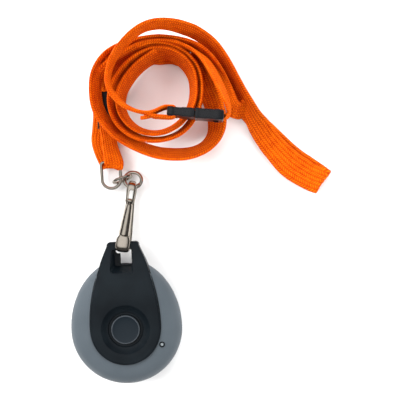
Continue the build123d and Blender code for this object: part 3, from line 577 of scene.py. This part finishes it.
# Both legs leave the far fold flat and turn on edge as they reach the coil.
# The part above the coil stands on the turns below it.
FAR_LEG = [
    (81.2, 54.1, 1.7, FAR_SIDE, 1.1), (81.3, 54.0, 3.0, FAR_SIDE, 1.1),
    (77.6, 55.3, 3.1, FAR_SIDE, 1.1), (73.6, 57.7, 3.0, (0.56, 0.83, 0.1), 1.12),
    (68.3, 61.5, 2.8, (0.6, 0.8, 0.08), 1.14), (62.3, 68.5, 2.7, -86),
    (58.9, 73.2, 3.2, -78, 0.95), (56.8, 76.9, 4.2, -60), (54.4, 80.6, 4.8, -42),
    (52.3, 85.8, 5.0, -30), (49.9, 90.7, 5.0, -24), (46.9, 97.0, 5.0, -23),
    (44.7, 101.8, 5.2, -22), (41.3, 107.5, 5.7, -24), (37.6, 111.7, 7.4, -23),
    (33.0, 114.6, 10.2, -21),
]
NEAR_LEG = [
    (28.1, 116.2, 13.8, -20), (22.5, 117.4, 16.6, -15), (17.5, 117.3, 18.6, -12),
    (12.8, 116.1, 19.7, -9), (9.2, 113.9, 20.3, -8), (5.6, 110.6, 20.4, -9),
    (2.5, 107.2, 20.4, -7), (0.1, 103.6, 20.4, -5), (-1.4, 99.6, 20.4, -3),
    (-2.0, 96.0, 20.4, -3), (-1.5, 93.2, 20.4, -5), (-0.2, 90.8, 20.4, -9),
    (1.6, 88.3, 20.3, -9), (4.1, 86.0, 20.1, -8), (7.0, 84.4, 19.8, -6),
    (10.3, 83.3, 19.5, -4), (13.2, 82.8, 19.4, -2), (15.5, 83.2, 19.3, 0), (17.6, 84.1, 19.2, 0),
]
OUTER_TURN = [
    (81.2, 54.1, 1.7, FAR_SIDE, 1.1), (81.45, 53.9, 1.25, FAR_SIDE, 1.1),
    (79.2, 56.15, 0.85, FAR_SIDE, 1.05), (75.6, 59.0, 0.8, (0.56, 0.83, 0), 1.05),
    (69.8, 63.2, 0.8, (0.6, 0.8, 0), 1.02), (63.7, 69.8, 0.8, FAR_SIDE, 0.95),
    (59.0, 75.6, 0.9, -89, 0.85), (55.9, 78.8, 1.0, -86, 0.75),
    (53.6, 82.2, 1.6, -80, 0.75),
    (51.5, 84.4, 2.7, -66, 0.85), (49.2, 84.3, 3.7, -54, 0.95), (47.2, 84.1, 4.6, -42),
    (45.9, 86.6, 4.7, -28), (45.2, 90.8, 4.9, -16),
    (43.2, 95.7, 5.1, -15), (41.0, 100.2, 6.0, -15), (37.5, 105.5, 6.9, -14),
    (32.8, 109.8, 7.2, -11), (26.6, 112.1, 7.6, -8), (21.4, 112.9, 8.2, -9),
    (16.6, 113.1, 8.7, -10), (11.4, 112.5, 9.2, -11), (6.9, 111.5, 9.6, -10),
    (2.6, 110.4, 9.9, -9), (-1.2, 108.6, 10.2, -8), (-4.3, 105.9, 10.4, -11),
    (-6.5, 102.2, 10.3, -16), (-7.7, 98.4, 10.3, -20), (-8.05, 93.6, 10.3, -22),
    (-7.75, 88.6, 10.3, -23), (-6.4, 84.3, 10.1, -24), (-3.7, 80.2, 9.8, -25),
    (0.2, 75.7, 9.4, -26), (5.6, 72.2, 9.0, -26), (11.0, 69.6, 8.6, -28),
    (16.3, 67.8, 8.2, -30), (22.3, 67.1, 7.8, -32), (27.9, 67.2, 7.1, -31),
    (33.2, 68.8, 6.1, -29), (37.0, 71.7, 4.8, -33), (39.2, 75.4, 3.9, -42),
    (39.9, 79.6, 3.8, -49), (39.4, 84.0, 3.8, -50), (38.2, 88.4, 3.8, -50),
    (36.6, 93.0, 3.7, -50), (34.9, 98.0, 3.0, -58), (32.8, 102.8, 1.7, -74),
    (29.0, 106.8, 0.9, -88),
]
INNER_START = [
    (29.0, 106.8, 0.9, -88), (24.8, 109.0, 1.0, -84), (20.8, 109.0, 2.8, -66),
]
# The turns widen at a steady rate on an uneven round: one value for every 30 degrees.
TURN_CENTRE = (16.3, 91.5)
TURN_ANGLE = 30
TURN_RADII = (12.2, 13.8, 14.5, 14.35, 11.6, 11.05, 12.6, 13.9, 14.3, 13.6, 11.9, 11.9)
TURN_GROWTH = (2.2, 2.0, 1.8, 1.8, 2.8, 3.0, 3.3, 3.2, 2.8, 2.6, 3.3, 2.6)
TURN_LEANS = (17, 22, 22, 20, 20, 20, 19, 16, 14, 13, 14, 16)
# The spline runs at about this share of its control points' radius.
ROUTE_SHRINK = 0.966
# The coil's plane falls from its left side to the right.
COIL_LEFT_X, COIL_LEFT_Z = -6.0, 9.95
COIL_REACH, COIL_DROP = 46.0, 3.1


def turn_rows(start, end):
    """Rows of the coil's turns from one angle to another."""
    rows = []
    for k in range(round((end - start) / TURN_ANGLE) + 1):
        angle = start + TURN_ANGLE * k
        place = angle // TURN_ANGLE % len(TURN_RADII)
        radius = (TURN_RADII[place] + TURN_GROWTH[place] * angle / 360) / ROUTE_SHRINK
        x = TURN_CENTRE[0] + radius * cos(radians(angle))
        y = TURN_CENTRE[1] + radius * sin(radians(angle))
        z = COIL_LEFT_Z - COIL_DROP * (x - COIL_LEFT_X) / COIL_REACH
        rows.append((x, y, z, -TURN_LEANS[place]))
    return rows


def halfway(first, second):
    """Row between two rows."""
    return tuple((a + b) / 2 for a, b in zip(first[:3], second[:3])) + (first[3],)


ALL_TURNS = turn_rows(90, 840)
CUT_ONE, CUT_TWO = 9, 17
JOIN_ONE = halfway(ALL_TURNS[CUT_ONE], ALL_TURNS[CUT_ONE + 1])
JOIN_TWO = halfway(ALL_TURNS[CUT_TWO], ALL_TURNS[CUT_TWO + 1])
TURN_ONE = INNER_START + ALL_TURNS[:CUT_ONE + 1] + [JOIN_ONE]
TURN_TWO = [JOIN_ONE] + ALL_TURNS[CUT_ONE + 1:CUT_TWO + 1] + [JOIN_TWO]
# The last turn dives under the coil into the lower layer of the crimp.
LOOP_EDGE = (-1, 0.15, 0)
LOOP_END = (-3.6, 63.6, 2.4, LOOP_EDGE, 0.72)
TURN_THREE = [JOIN_TWO] + ALL_TURNS[CUT_TWO + 1:] + [
    (-1.6, 105.0, 8.4, -30), (-4.7, 101.4, 5.6, -58), (-5.9, 97.4, 2.4, -84),
    (-5.6, 92.0, 1.45, (-1, 0, 0)), (-5.2, 85.0, 1.45, (-1, 0, 0)),
    (-6.6, 79.0, 1.6, (-1, 0, 0), 0.85), (-7.7, 74.0, 1.6, (-1, 0, 0), 0.78),
    (-6.7, 69.6, 1.5, (-1, 0.1, 0), 0.74), (-5.3, 66.0, 1.2, LOOP_EDGE, 0.72),
    (-4.1, 63.8, 1.2, LOOP_EDGE, 0.72), LOOP_END,
]
SOCKET_LEG = [
    (42.2, 80.33, 19.0, 0), (43.2, 80.2, 18.9, 2), (44.1, 81.6, 18.6, 6), (43.9, 84.6, 18.2, 12),
    (42.8, 88.2, 17.6, 18), (41.3, 92.2, 16.6, 20), (39.7, 96.1, 15.4, 20),
    (37.8, 100.3, 14.0, 20), (35.7, 104.0, 12.6, 18), (32.5, 107.1, 11.2, 8),
    (28.7, 109.2, 10.1, 0), (24.8, 110.4, 9.5, -8), (20.5, 111.0, 9.2, -13),
    (16.3, 111.0, 9.3, -16), (12.6, 110.4, 9.5, -18), (9.0, 109.1, 9.7, -18),
    (5.2, 107.2, 9.9, -18), (1.3, 105.3, 10.0, -20), (-2.3, 102.6, 9.0, -34),
    (-4.6, 99.6, 6.6, -58), (-5.6, 96.4, 4.0, -84), (-5.2, 92.0, 3.25, (-1, 0, 0)),
    (-4.4, 85.0, 3.4, (-1, 0, 0.1), 0.85), (-4.7, 79.6, 3.7, (-1, 0, 0.25), 0.62),
    (-4.1, 74.6, 4.0, (-1, 0.06, 0.25), 0.6), (-3.5, 70.2, 4.2, (-1, 0.1, 0.2), 0.66),
    (-2.7, 66.6, 4.1, (-1, 0.15, 0.15), 0.76), (-2.3, 64.4, 3.8, (-1, 0.15, 0.1), 0.78),
    (-2.8, 63.2, 3.4, (-1, 0.15, 0), 0.72), LOOP_END,
]
BUCKLE_AT = Vector((31.0, 81.7, 19.0))
BUCKLE_TURN = radians(-7)
BUCKLE_ALONG = Vector((cos(BUCKLE_TURN), sin(BUCKLE_TURN), 0))
BUCKLE_SIDE = Vector((-sin(BUCKLE_TURN), cos(BUCKLE_TURN), 0))
PLUG_BAR = -9.85


def on_buckle(u, v, z=0.0):
    """Point in the buckle's own frame, in millimetres of the part."""
    return BUCKLE_AT + BUCKLE_ALONG * u + BUCKLE_SIDE * v + UP * z


def plug_tail():
    """Rows of the strap round the plug's bar and back beside itself."""
    return [
        (*on_buckle(PLUG_BAR - 1.9, 1.75), 0), (*on_buckle(PLUG_BAR + 0.2, 1.95), 0),
        (*on_buckle(PLUG_BAR + 1.9, 1.9), 0), (*on_buckle(PLUG_BAR + 1.95, 0), 0),
        (*on_buckle(PLUG_BAR + 1.9, -1.9), 0), (*on_buckle(PLUG_BAR - 2.4, -2.2), 0),
        (*on_buckle(PLUG_BAR - 7.0, -1.9), 0), (14.0, 82.0, 18.8, 2), (11.8, 81.3, 18.8, 4),
        (10.2, 81.2, 18.8, 6),
    ]


def straps():
    """Every stretch of the lanyard's strap."""
    join = halfway(FAR_LEG[-1], NEAR_LEG[0])
    strap("strap_far_leg", FAR_LEG + [join],
          ("strap_far_fold", "strap_upper_leg"))
    strap("strap_outer", OUTER_TURN,
          ("strap_outer_turn", "strap_crossing"))
    strap("strap_turn_one", TURN_ONE,
          ("strap_inner_turns",))
    strap("strap_turn_two", TURN_TWO, ("strap_inner_turns",))
    strap("strap_turn_three", TURN_THREE,
          ("strap_inner_turns", "strap_end_loop"))
    strap("strap_top_leg", SOCKET_LEG,
          ("strap_socket_leg", "strap_end_loop"))
    near = strap("strap_near_leg", [join] + NEAR_LEG + plug_tail(),
                 ("strap_plug_leg",), body=None)
    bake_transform(near)


straps()

# Hook, in a frame of its own: Y along its spine, Z towards its lip
HOOK_PLACE = (Matrix.Translation((-0.13, 30.5, 6.7)) @ Matrix.Rotation(radians(-10.6), 4, "Z")
              @ Matrix.Rotation(radians(-4), 4, "X"))
LIP_Z, SPINE_Z, FRONT_Z = 3.95, -3.2, 1.2
LIP_END_Y, HEEL_Y, HEAD_Y, FRONT_END_Y = 4.75, -0.6, 26.85, 18.2
HEEL_BEND, HEAD_BEND = 1.6, 2.15
HOOK_THICK = 1.1
BEND_STEP, PATH_STEP = 0.35, 0.8
LIP_FROM_Z, LIP_CROWN, STRIP_CROWN = 2.2, 0.3, 0.22
# Position along the hook, and half width there.
HOOK_WIDTHS = [(-1.2, 2.55), (0.6, 2.75), (4.8, 2.8), (19.2, 1.7), (23, 1.9), (25.0, 1.9),
               (27.3, 1.3)]
END_TRIMS = (0.8, 0.95, 1.0)
# From and to along the hook and in height: the head's window, and the slot in the front.
WINDOWS = [(20.5, 23.9, -8.0, 8.0), (16.0, 21.5, 0.2, 4.0)]
WINDOW_HALF, WINDOW_CORNER = 0.95, 0.4
GATE_TIP = Vector((-0.22, 5.1, 2.75))
GATE_RISE = Vector((0.35, 14.1, -1.55))
GATE_UP = Vector((0, 1.6, 14.7)).normalized()
GATE_STEPS = 34
GATE_THICK = 0.6
# Share of the gate's length, and half width there.
GATE_WIDTHS = [(0, 2.15), (0.5, 1.8), (0.84, 1.4), (0.9, 1.25), (0.93, 0.84), (1.0, 0.84)]
PIVOT_Y, PIVOT_Z = 19.2, 1.2
KNUCKLE_HALF, KNUCKLE_RADIUS, KNUCKLE_EDGE = 0.84, 0.86, 0.12


def rounded_path(corners, radii):
    """Points of a plane path with its corners rounded, and their directions."""
    points = [Vector(corners[0])]
    for index in range(1, len(corners) - 1):
        before, here, after = (Vector(corners[index + k]) for k in (-1, 0, 1))
        come, leave = (here - before).normalized(), (after - here).normalized()
        turn = come.angle(leave)
        cut_back = radii[index - 1] * sin(turn / 2) / cos(turn / 2)
        start = here - come * cut_back
        side = (leave - come * leave.dot(come)).normalized()
        centre = start + side * radii[index - 1]
        count = max(4, round(radii[index - 1] * turn / BEND_STEP))
        for k in range(count + 1):
            angle = turn * k / count
            arm = -side * cos(angle) + come * sin(angle)
            points.append(centre + arm * radii[index - 1])
    points.append(Vector(corners[-1]))
    dense = []
    for first, second in zip(points, points[1:]):
        pieces = max(1, round((second - first).length / PATH_STEP))
        dense += [first.lerp(second, k / pieces) for k in range(pieces)]
    dense.append(points[-1])
    return dense, heads(dense)


def crowned(half, thick, crown, count=15):
    """Section of a strip across X: domed outside, flat inside, soft edges."""
    top, under = [], []
    for k in range(count):
        share = sin(pi / 2 * (-1 + 2 * k / (count - 1)))
        edge = (1 - abs(share) ** 5) ** 0.5
        top.append((share * half, thick / 2 * edge + crown * (1 - share * share)))
        under.append((share * half, -thick / 2 * edge))
    return top + under[-2:0:-1]


def by_table(table, value):
    """Linear value from a table of (position, value)."""
    for (a, low), (b, high) in zip(table, table[1:]):
        if value <= b:
            return low + (high - low) * max(0.0, value - a) / (b - a)
    return table[-1][1]


def cut_window(hook, y0, y1, z0, z1):
    """Cut a window through the strip, with its upper corners clipped."""
    half, clip = WINDOW_HALF, WINDOW_CORNER
    corners = ((-half, y0), (half, y0), (half, y1 - clip), (half - clip, y1),
               (clip - half, y1), (-half, y1 - clip))
    cut(hook, tool([[HOOK_PLACE @ Vector((x, y, z)) for x, y in corners] for z in (z0, z1)]))


def make_hook():
    """Bent strip of the hook, with the windows in its head."""
    corners = [(0, LIP_END_Y, LIP_Z), (0, HEEL_Y, LIP_Z), (0, HEEL_Y, SPINE_Z),
               (0, HEAD_Y, SPINE_Z), (0, HEAD_Y, FRONT_Z), (0, FRONT_END_Y, FRONT_Z)]
    points, ways = rounded_path(corners, (HEEL_BEND, HEEL_BEND, HEAD_BEND, HEAD_BEND))
    rings, last = [], len(points) - 1
    for index, (point, ahead) in enumerate(zip(points, ways)):
        out = ahead.cross(Vector((1, 0, 0)))
        trim = END_TRIMS[min(index, last - index, 2)]
        half = by_table(HOOK_WIDTHS, point.y) * trim
        crown = LIP_CROWN if point.z > LIP_FROM_Z else STRIP_CROWN
        section = crowned(half, HOOK_THICK * trim, crown)
        rings.append([HOOK_PLACE @ (point + Vector((x, 0, 0)) + out * n) for x, n in section])
    hook = loft("hook_body", "hook", "nickel", rings, ("hook_frame",))
    for window in WINDOWS:
        cut_window(hook, *window)


def make_gate():
    """Convex spring leaf of the gate."""
    rings = []
    for k in range(GATE_STEPS + 1):
        share = k / GATE_STEPS
        trim = 0.86 if k == 0 else 1.0
        half = by_table(GATE_WIDTHS, share) * trim
        section = crowned(half, GATE_THICK * trim, 0.5 * half, 13)
        middle = GATE_TIP + GATE_RISE * share
        rings.append([HOOK_PLACE @ (middle + Vector((x, 0, 0)) + GATE_UP * (n - 0.25))
                      for x, n in section])
    loft("gate_leaf", "gate", "nickel", rings, ("hook_gate",))


def make_knuckle():
    """Rolled end of the gate, round its pin."""
    rings = []
    for k in range(9):
        x = -KNUCKLE_HALF + 2 * KNUCKLE_HALF * k / 8
        radius = KNUCKLE_RADIUS - (KNUCKLE_EDGE if k in (0, 8) else 0)
        rings.append([HOOK_PLACE @ Vector((
            x, PIVOT_Y + radius * cos(pi * j / 12),
            PIVOT_Z + 0.1 + radius * sin(pi * j / 12))) for j in range(24)])
    loft("gate_knuckle", "gate", "nickel", rings)


# Rings
def arc(x, y, radius, start, sweep):
    """Points of an arc in steps of about 10 degrees, without its last point."""
    count = max(3, round(abs(sweep) / 10))
    return [Vector((x + radius * cos(radians(start + sweep * k / count)),
                    y + radius * sin(radians(start + sweep * k / count)), 0))
            for k in range(count)]


def bent_wire(name, node, place, rail, across, tall, closed=True):
    """Bent wire of oval section along a nearly flat rail."""
    rings, last = [], len(rail) - 1
    for k, point in enumerate(rail):
        before = rail[k - 1] if closed or k else point
        after = rail[(k + 1) % len(rail)] if closed or k < last else point
        side = UP.cross(after - before).normalized()
        trim = 1.0 if closed else (0.5, 0.85, 1.0)[min(k, last - k, 2)]
        rings.append([place @ (point + side * (trim * across * cos(pi * j / 8))
                               + UP * (trim * tall * sin(pi * j / 8))) for j in range(16)])
    loft(name, node, "nickel", rings, (node,), loop=closed)


def make_dee_ring():
    """D ring in the strap's fold."""
    half, corner, depth = 3.8, 1.2, 6.8
    rail = (arc(half - corner, -corner, corner, 90, -90) + arc(0, -depth, half, 0, -180)
            + arc(corner - half, -corner, corner, 180, -90) + [Vector((corner - half, 0, 0))])
    place = Matrix.Translation((-3.9, 65.4, 2.95)) @ Matrix.Rotation(radians(4), 4, "X")
    bent_wire("dee_ring", "strap_ring", place, rail, 0.65, 0.62)


def make_oval_link():
    """Oval link between the D ring and the split ring."""
    bend, shift = 2.1, 1.6
    rail = arc(shift, 0, bend, 90, -180) + arc(-shift, 0, bend, 270, -180)
    place = (Matrix.Translation((0.6, 58.35, 2.8)) @ Matrix.Rotation(radians(18), 4, "Z")
             @ Matrix.Rotation(radians(74), 4, "X"))
    bent_wire("oval_link", "connecting_link", place, rail, 0.6, 0.56)


def make_split_ring():
    """Split ring of the hook: nearly two turns, with its last end sprung inwards."""
    radius, rise, count = 3.4, 0.34, 88
    turn = Vector((0.0564, 0.3373, 0.9397)).to_track_quat("Z", "Y").to_matrix().to_4x4()
    place = Matrix.Translation((4.87, 57.84, 2.82)) @ turn
    rail = []
    for k in range(count):
        angle = radians(8 * k - 540)
        bent = radius - max(0.0, (k - 82) / 5) * 0.45
        rail.append(Vector((bent * cos(angle), bent * sin(angle),
                            rise * (k / ((count - 1) / 2) - 1))))
    bent_wire("split_ring", "hook_ring", place, rail, 0.68, 0.34, closed=False)


# Pendant front
DISH_AT = Vector((0, DISH_CENTRE_Y, 0))
FLAT_TOP = 12.6
BEZEL_CROWN, CROWN_SPAN = 0.0022, 14
BEZEL_SHARP = radians(30)
FOOT_RADIUS = 13.9
SIDE_RISE, SIDE_COUNT = 32.8, 32
FLANK_RADIUS, STRAIGHT_FROM, STRAIGHT_SLOPE = 66, 27.5, 0.44
FLARE_FROM, FLARE_RUN, FLARE = 17, 13, 0.85
TIP_CORNER, TIP_CORNER_IN, TIP_CORNER_Y = 1.65, 1.5, 31.75
TIP_POINT = (1.2, 33.42)
FALL_FROM_Y, FALL_EASED, FALL_EASE = 14.0, 9, 6.0
FALL, FALL_RUN = 3.6, 19.4
FACE_SHARES, FACE_INSET = (0.12, 0.3, 0.5, 0.7, 0.85, 0.94), 0.6
# Position along the tongue and height of its underside: shallow in the shells, deep at the neck.
UNDER_HEIGHTS = [(-20, 10.0), (19.8, 10.0), (20.7, 2.7), (23.6, 2.7), (27.5, 4.4), (40, 4.4)]
# Radius and height of the bore, moat and dish round the button.
DISH_PROFILE = [
    (0.4, 10.12), (3.0, 10.12), (5.9, 10.12), (5.95, 10.6), (6.75, 10.65), (6.95, 10.85),
    (7.05, 11.1), (7.4, 11.15), (8.2, 11.5), (9.0, 12.0), (9.45, 12.3), (9.65, 12.47),
    (10.5, 12.56),
]
DISH_RIM = DISH_PROFILE[-1][0]
# Inset and drop of the upper edge's rounding, and inset and lift of the lower one's.
UPPER_EDGE = ((0.55, 0.02), (0.3, 0.08), (0.1, 0.25), (0.0, 0.5))
LOWER_EDGE = ((0.0, 0.5), (0.15, 0.12), (0.6, 0.0), (3.0, 0.0), (8.0, 0.0), (13.5, 0.0))
# Sides and corner of the slot and of its wider end beside the bar, and heights cut through.
SLOTS = [(-1.35, 3.15, 24.2, 30.5, 0.8), (-3.15, 3.13, 28.7, 30.5, 0.8)]
SLOT_HEIGHTS = (-2, 20)
# Sides, corner and height of the scoop round the slot.
SCOOP = [
    (-3.6, 3.2, 23.7, 30.49, 0.9, 6.0), (-4.5, 3.5, 22.4, 30.48, 1.0, 8.6),
    (-5.3, 3.9, 21.1, 30.47, 1.2, 11.2), (-5.8, 4.3, 20.0, 30.46, 1.4, 14.0),
]
# Radius and height round the button cap.
CAP_PROFILE = [
    (0.05, 11.6), (1.6, 11.62), (3.2, 11.7), (4.5, 11.84), (5.05, 11.95), (5.3, 12.02),
    (5.48, 12.0), (5.62, 11.88), (5.68, 11.7), (5.68, 11.0), (5.6, 10.85), (0.05, 10.85),
]


def bezel_outline():
    """Outline of the tongue as points, round foot first."""
    foot = []
    for k in range(37):
        angle = radians(180 + 5 * k)
        foot.append((FOOT_RADIUS * cos(angle), DISH_CENTRE_Y + FOOT_RADIUS * sin(angle)))
    side = []
    for k in range(1, SIDE_COUNT + 1):
        rise = SIDE_RISE * k / SIDE_COUNT
        reach = FLANK_RADIUS - sqrt(FLANK_RADIUS * FLANK_RADIUS - min(rise, STRAIGHT_FROM) ** 2)
        reach += STRAIGHT_SLOPE * max(0.0, rise - STRAIGHT_FROM)
        flare = min(1.0, max(0.0, (rise - FLARE_FROM) / FLARE_RUN))
        side.append((FOOT_RADIUS - reach + FLARE * flare * flare * (3 - 2 * flare),
                     rise + DISH_CENTRE_Y))
    x, _ = side[-1]
    for k in range(1, 8):
        angle = radians(24 + 66 * k / 7)
        side.append((x - TIP_CORNER_IN + TIP_CORNER * cos(angle),
                     TIP_CORNER_Y + TIP_CORNER * sin(angle)))
    side.append(TIP_POINT)
    return foot + side + [(-x, y) for x, y in reversed(side)]


def bezel_top(place):
    """Height of the tongue's upper face, which falls towards its tip."""
    run = place.y - FALL_FROM_Y
    fall = run if run > FALL_EASED else 0.5 * (run + sqrt(run * run + FALL_EASE))
    return FLAT_TOP - FALL * fall / FALL_RUN - BEZEL_CROWN * place.x * place.x


def bezel_ring(outline, reach, height):
    """Ring round the dish's centre: its reach from that of the outline, its height by place."""
    ring = []
    for x, y in outline:
        arm = Vector((x, y, 0)) - DISH_AT
        at = DISH_AT + arm.normalized() * reach(arm.length)
        ring.append(Vector((at.x, at.y, height(at))))
    return ring


def dish_ring(outline, radius, z):
    """Ring of the dish, lower at its sides as the crowned face is."""
    ring = []
    for x, y in outline:
        way = (Vector((x, y, 0)) - DISH_AT).normalized()
        crown = BEZEL_CROWN * ((x * radius / CROWN_SPAN) ** 2)
        ring.append(DISH_AT + way * radius + UP * (z - crown))
    return ring


def make_bezel():
    """Tongue with its dish, moat, scoop and slot."""
    outline = bezel_outline()
    rings = [dish_ring(outline, radius, z) for radius, z in DISH_PROFILE]
    for share in FACE_SHARES:
        rings.append(bezel_ring(
            outline, lambda reach: DISH_RIM + (reach - FACE_INSET - DISH_RIM) * share, bezel_top))
    for inset, drop in UPPER_EDGE:
        rings.append(bezel_ring(
            outline, lambda reach: reach - inset, lambda at: bezel_top(at) - drop))
    for inset, lift in LOWER_EDGE:
        rings.append(bezel_ring(
            outline, lambda reach: reach - inset * reach / FOOT_RADIUS,
            lambda at: by_table(UNDER_HEIGHTS, at.y) + lift))
    bezel = loft("tongue", "pendant", "black_plastic", rings, ("front_bezel",))
    for sides in SLOTS:
        cut_box(bezel, [(*sides, z) for z in SLOT_HEIGHTS])
    cut_box(bezel, SCOOP)
    bezel.data.set_sharp_from_angle(angle=BEZEL_SHARP)


def cut_box(piece, levels):
    """Cut through levels of a rounded rectangle's sides, corner and height."""
    cut(piece, tool([[(x, y, z) for x, y in rounded_rectangle(x0, x1, y0, y1, corner, 6)]
                     for x0, x1, y0, y1, corner, z in levels]))


def make_button():
    """Slightly hollow button cap with a soft rim, on which its material paints a bright highlight
    line.
    """
    rings = [[(radius * cos(radians(5 * k)), DISH_CENTRE_Y + radius * sin(radians(5 * k)), z)
              for k in range(72)] for radius, z in CAP_PROFILE]
    loft("button_cap", "button", "button_plastic", rings, ("push_button",))


# Crimp and buckle
CRIMP_X, CRIMP_Y, CRIMP_Z = -3.5, 79.0, 2.42
CRIMP_DRIFT = 0.02
CRIMP_HALF, CRIMP_HALF_TALL, CRIMP_CORNER = 4.75, 2.2, 0.75
CRIMP_RIBS = (3.6, 7.4, 11.2)
# Position along the buckle, half thickness, half height and corner radius.
PLUG_STATIONS = [
    (-10.6, 1.3, 5.5, 0.5), (-10.45, 1.6, 5.85, 0.6), (-10.2, 1.75, 6.0, 0.6),
    (-8.3, 1.78, 6.0, 0.5), (-8.1, 1.62, 5.9, 0.5), (-5.2, 1.62, 5.9, 0.5),
    (-5.0, 1.78, 6.0, 0.5), (-1.2, 1.85, 6.0, 0.45), (-0.9, 1.7, 5.9, 0.45),
    (-0.35, 1.7, 5.85, 0.45), (-0.2, 1.5, 5.7, 0.5),
]
SOCKET_STATIONS = [
    (0.05, 1.6, 5.7, 0.5), (0.2, 1.95, 5.95, 0.5), (1.1, 2.05, 6.02, 0.5),
    (1.3, 1.95, 5.95, 0.5), (7.4, 1.9, 5.95, 0.5), (7.6, 2.05, 6.02, 0.5),
    (9.2, 2.08, 6.05, 0.6), (9.5, 1.95, 5.95, 0.6), (10.7, 1.95, 5.95, 0.7),
    (10.95, 1.75, 5.8, 0.8), (11.05, 1.4, 5.5, 0.8),
]
# From and to along the buckle, across it and in height.
PLUG_POCKETS = [
    (-7.9, -5.5, -1.15, 1.15, 5.72, 7.0), (-4.3, -1.7, -1.3, 1.3, 5.8, 7.0),
    (-9.1, -7.0, -4, -1.3, -5.25, 5.25), (-9.1, -7.0, 1.3, 4, -5.25, 5.25),
]
SOCKET_POCKETS = [
    (1.9, 6.9, -1.35, 1.35, 5.78, 7.0), (7.1, 9.2, -4, -1.5, -5.25, 5.25),
    (7.1, 9.2, 1.5, 4, -5.25, 5.25),
]
# Start and lower and upper height of two snap arms and the centre tongue.
PLUG_ARMS = [(-0.4, -4.2, -3.2), (-0.4, 3.2, 4.2), (-0.6, -1.0, 1.0)]
# Position along an arm, and how far its end tapers there.
ARM_TAPER = [(3.6, 0), (4.4, 0.3), (5.0, 0.6)]
ARM_HALF, ARM_CORNER, TAPER_SHARE = 0.92, 0.2, 0.3


def slab(half_across, half_tall, corner):
    """Rounded rectangle about the origin as points round it."""
    return rounded_rectangle(-half_across, half_across, -half_tall, half_tall, corner, 5)


def make_crimp():
    """Folded metal clamp with pressed ribs and rolled ends."""
    stations = [(0.0, -0.22), (0.25, 0.0), (0.8, 0.08), (1.3, 0.0)]
    for rib in CRIMP_RIBS:
        stations += [(rib - 0.9, 0.0), (rib - 0.3, -0.2), (rib + 0.3, -0.2), (rib + 0.9, 0.0)]
    stations += [(13.6, 0.0), (14.1, 0.08), (14.6, 0.0), (14.85, -0.22)]
    rings = []
    for along, swell in stations:
        section = slab(CRIMP_HALF + 0.4 * swell, CRIMP_HALF_TALL + swell, CRIMP_CORNER)
        middle = CRIMP_X - CRIMP_DRIFT * along
        rings.append([(middle + x, CRIMP_Y + along, CRIMP_Z + z) for x, z in section])
    loft("crimp_clamp", "lanyard", "blackened_steel", rings, ("strap_crimp",))


def buckle_half(name, body, node, stations, pockets):
    """One half of the buckle from stations along it, with shallow pockets."""
    rings = [[on_buckle(u, v, z) for v, z in slab(half_thick, half_tall, corner)]
             for u, half_thick, half_tall, corner in stations]
    half = loft(name, body, "buckle_plastic", rings, (node,))
    for u0, u1, v0, v1, z0, z1 in pockets:
        corners = ((u0, v0), (u1, v0), (u1, v1), (u0, v1))
        cut(half, tool([[on_buckle(u, v, z) for u, v in corners] for z in (z0, z1)]))


def plug_arm(name, start, low, high):
    """One arm of the plug inside the socket, with a tapered end."""
    rings = []
    for u, trim in [(start, 0)] + ARM_TAPER:
        section = slab(ARM_HALF - trim * TAPER_SHARE, (high - low) / 2 - trim * TAPER_SHARE,
                       ARM_CORNER)
        rings.append([on_buckle(u, v, (low + high) / 2 + z) for v, z in section])
    loft(name, "buckle_plug", "buckle_plastic", rings)


def make_buckle():
    """Both halves of the breakaway buckle, and the plug's arms."""
    buckle_half("plug_half", "buckle_plug", "buckle_plug", PLUG_STATIONS, PLUG_POCKETS)
    buckle_half("socket_half", "lanyard", "buckle_socket", SOCKET_STATIONS, SOCKET_POCKETS)
    for index, arm in enumerate(PLUG_ARMS):
        plug_arm("plug_arm_%d" % (index + 1), *arm)


make_hook()
make_gate()
make_knuckle()
make_dee_ring()
make_oval_link()
make_split_ring()
make_bezel()
make_button()
make_crimp()
make_buckle()
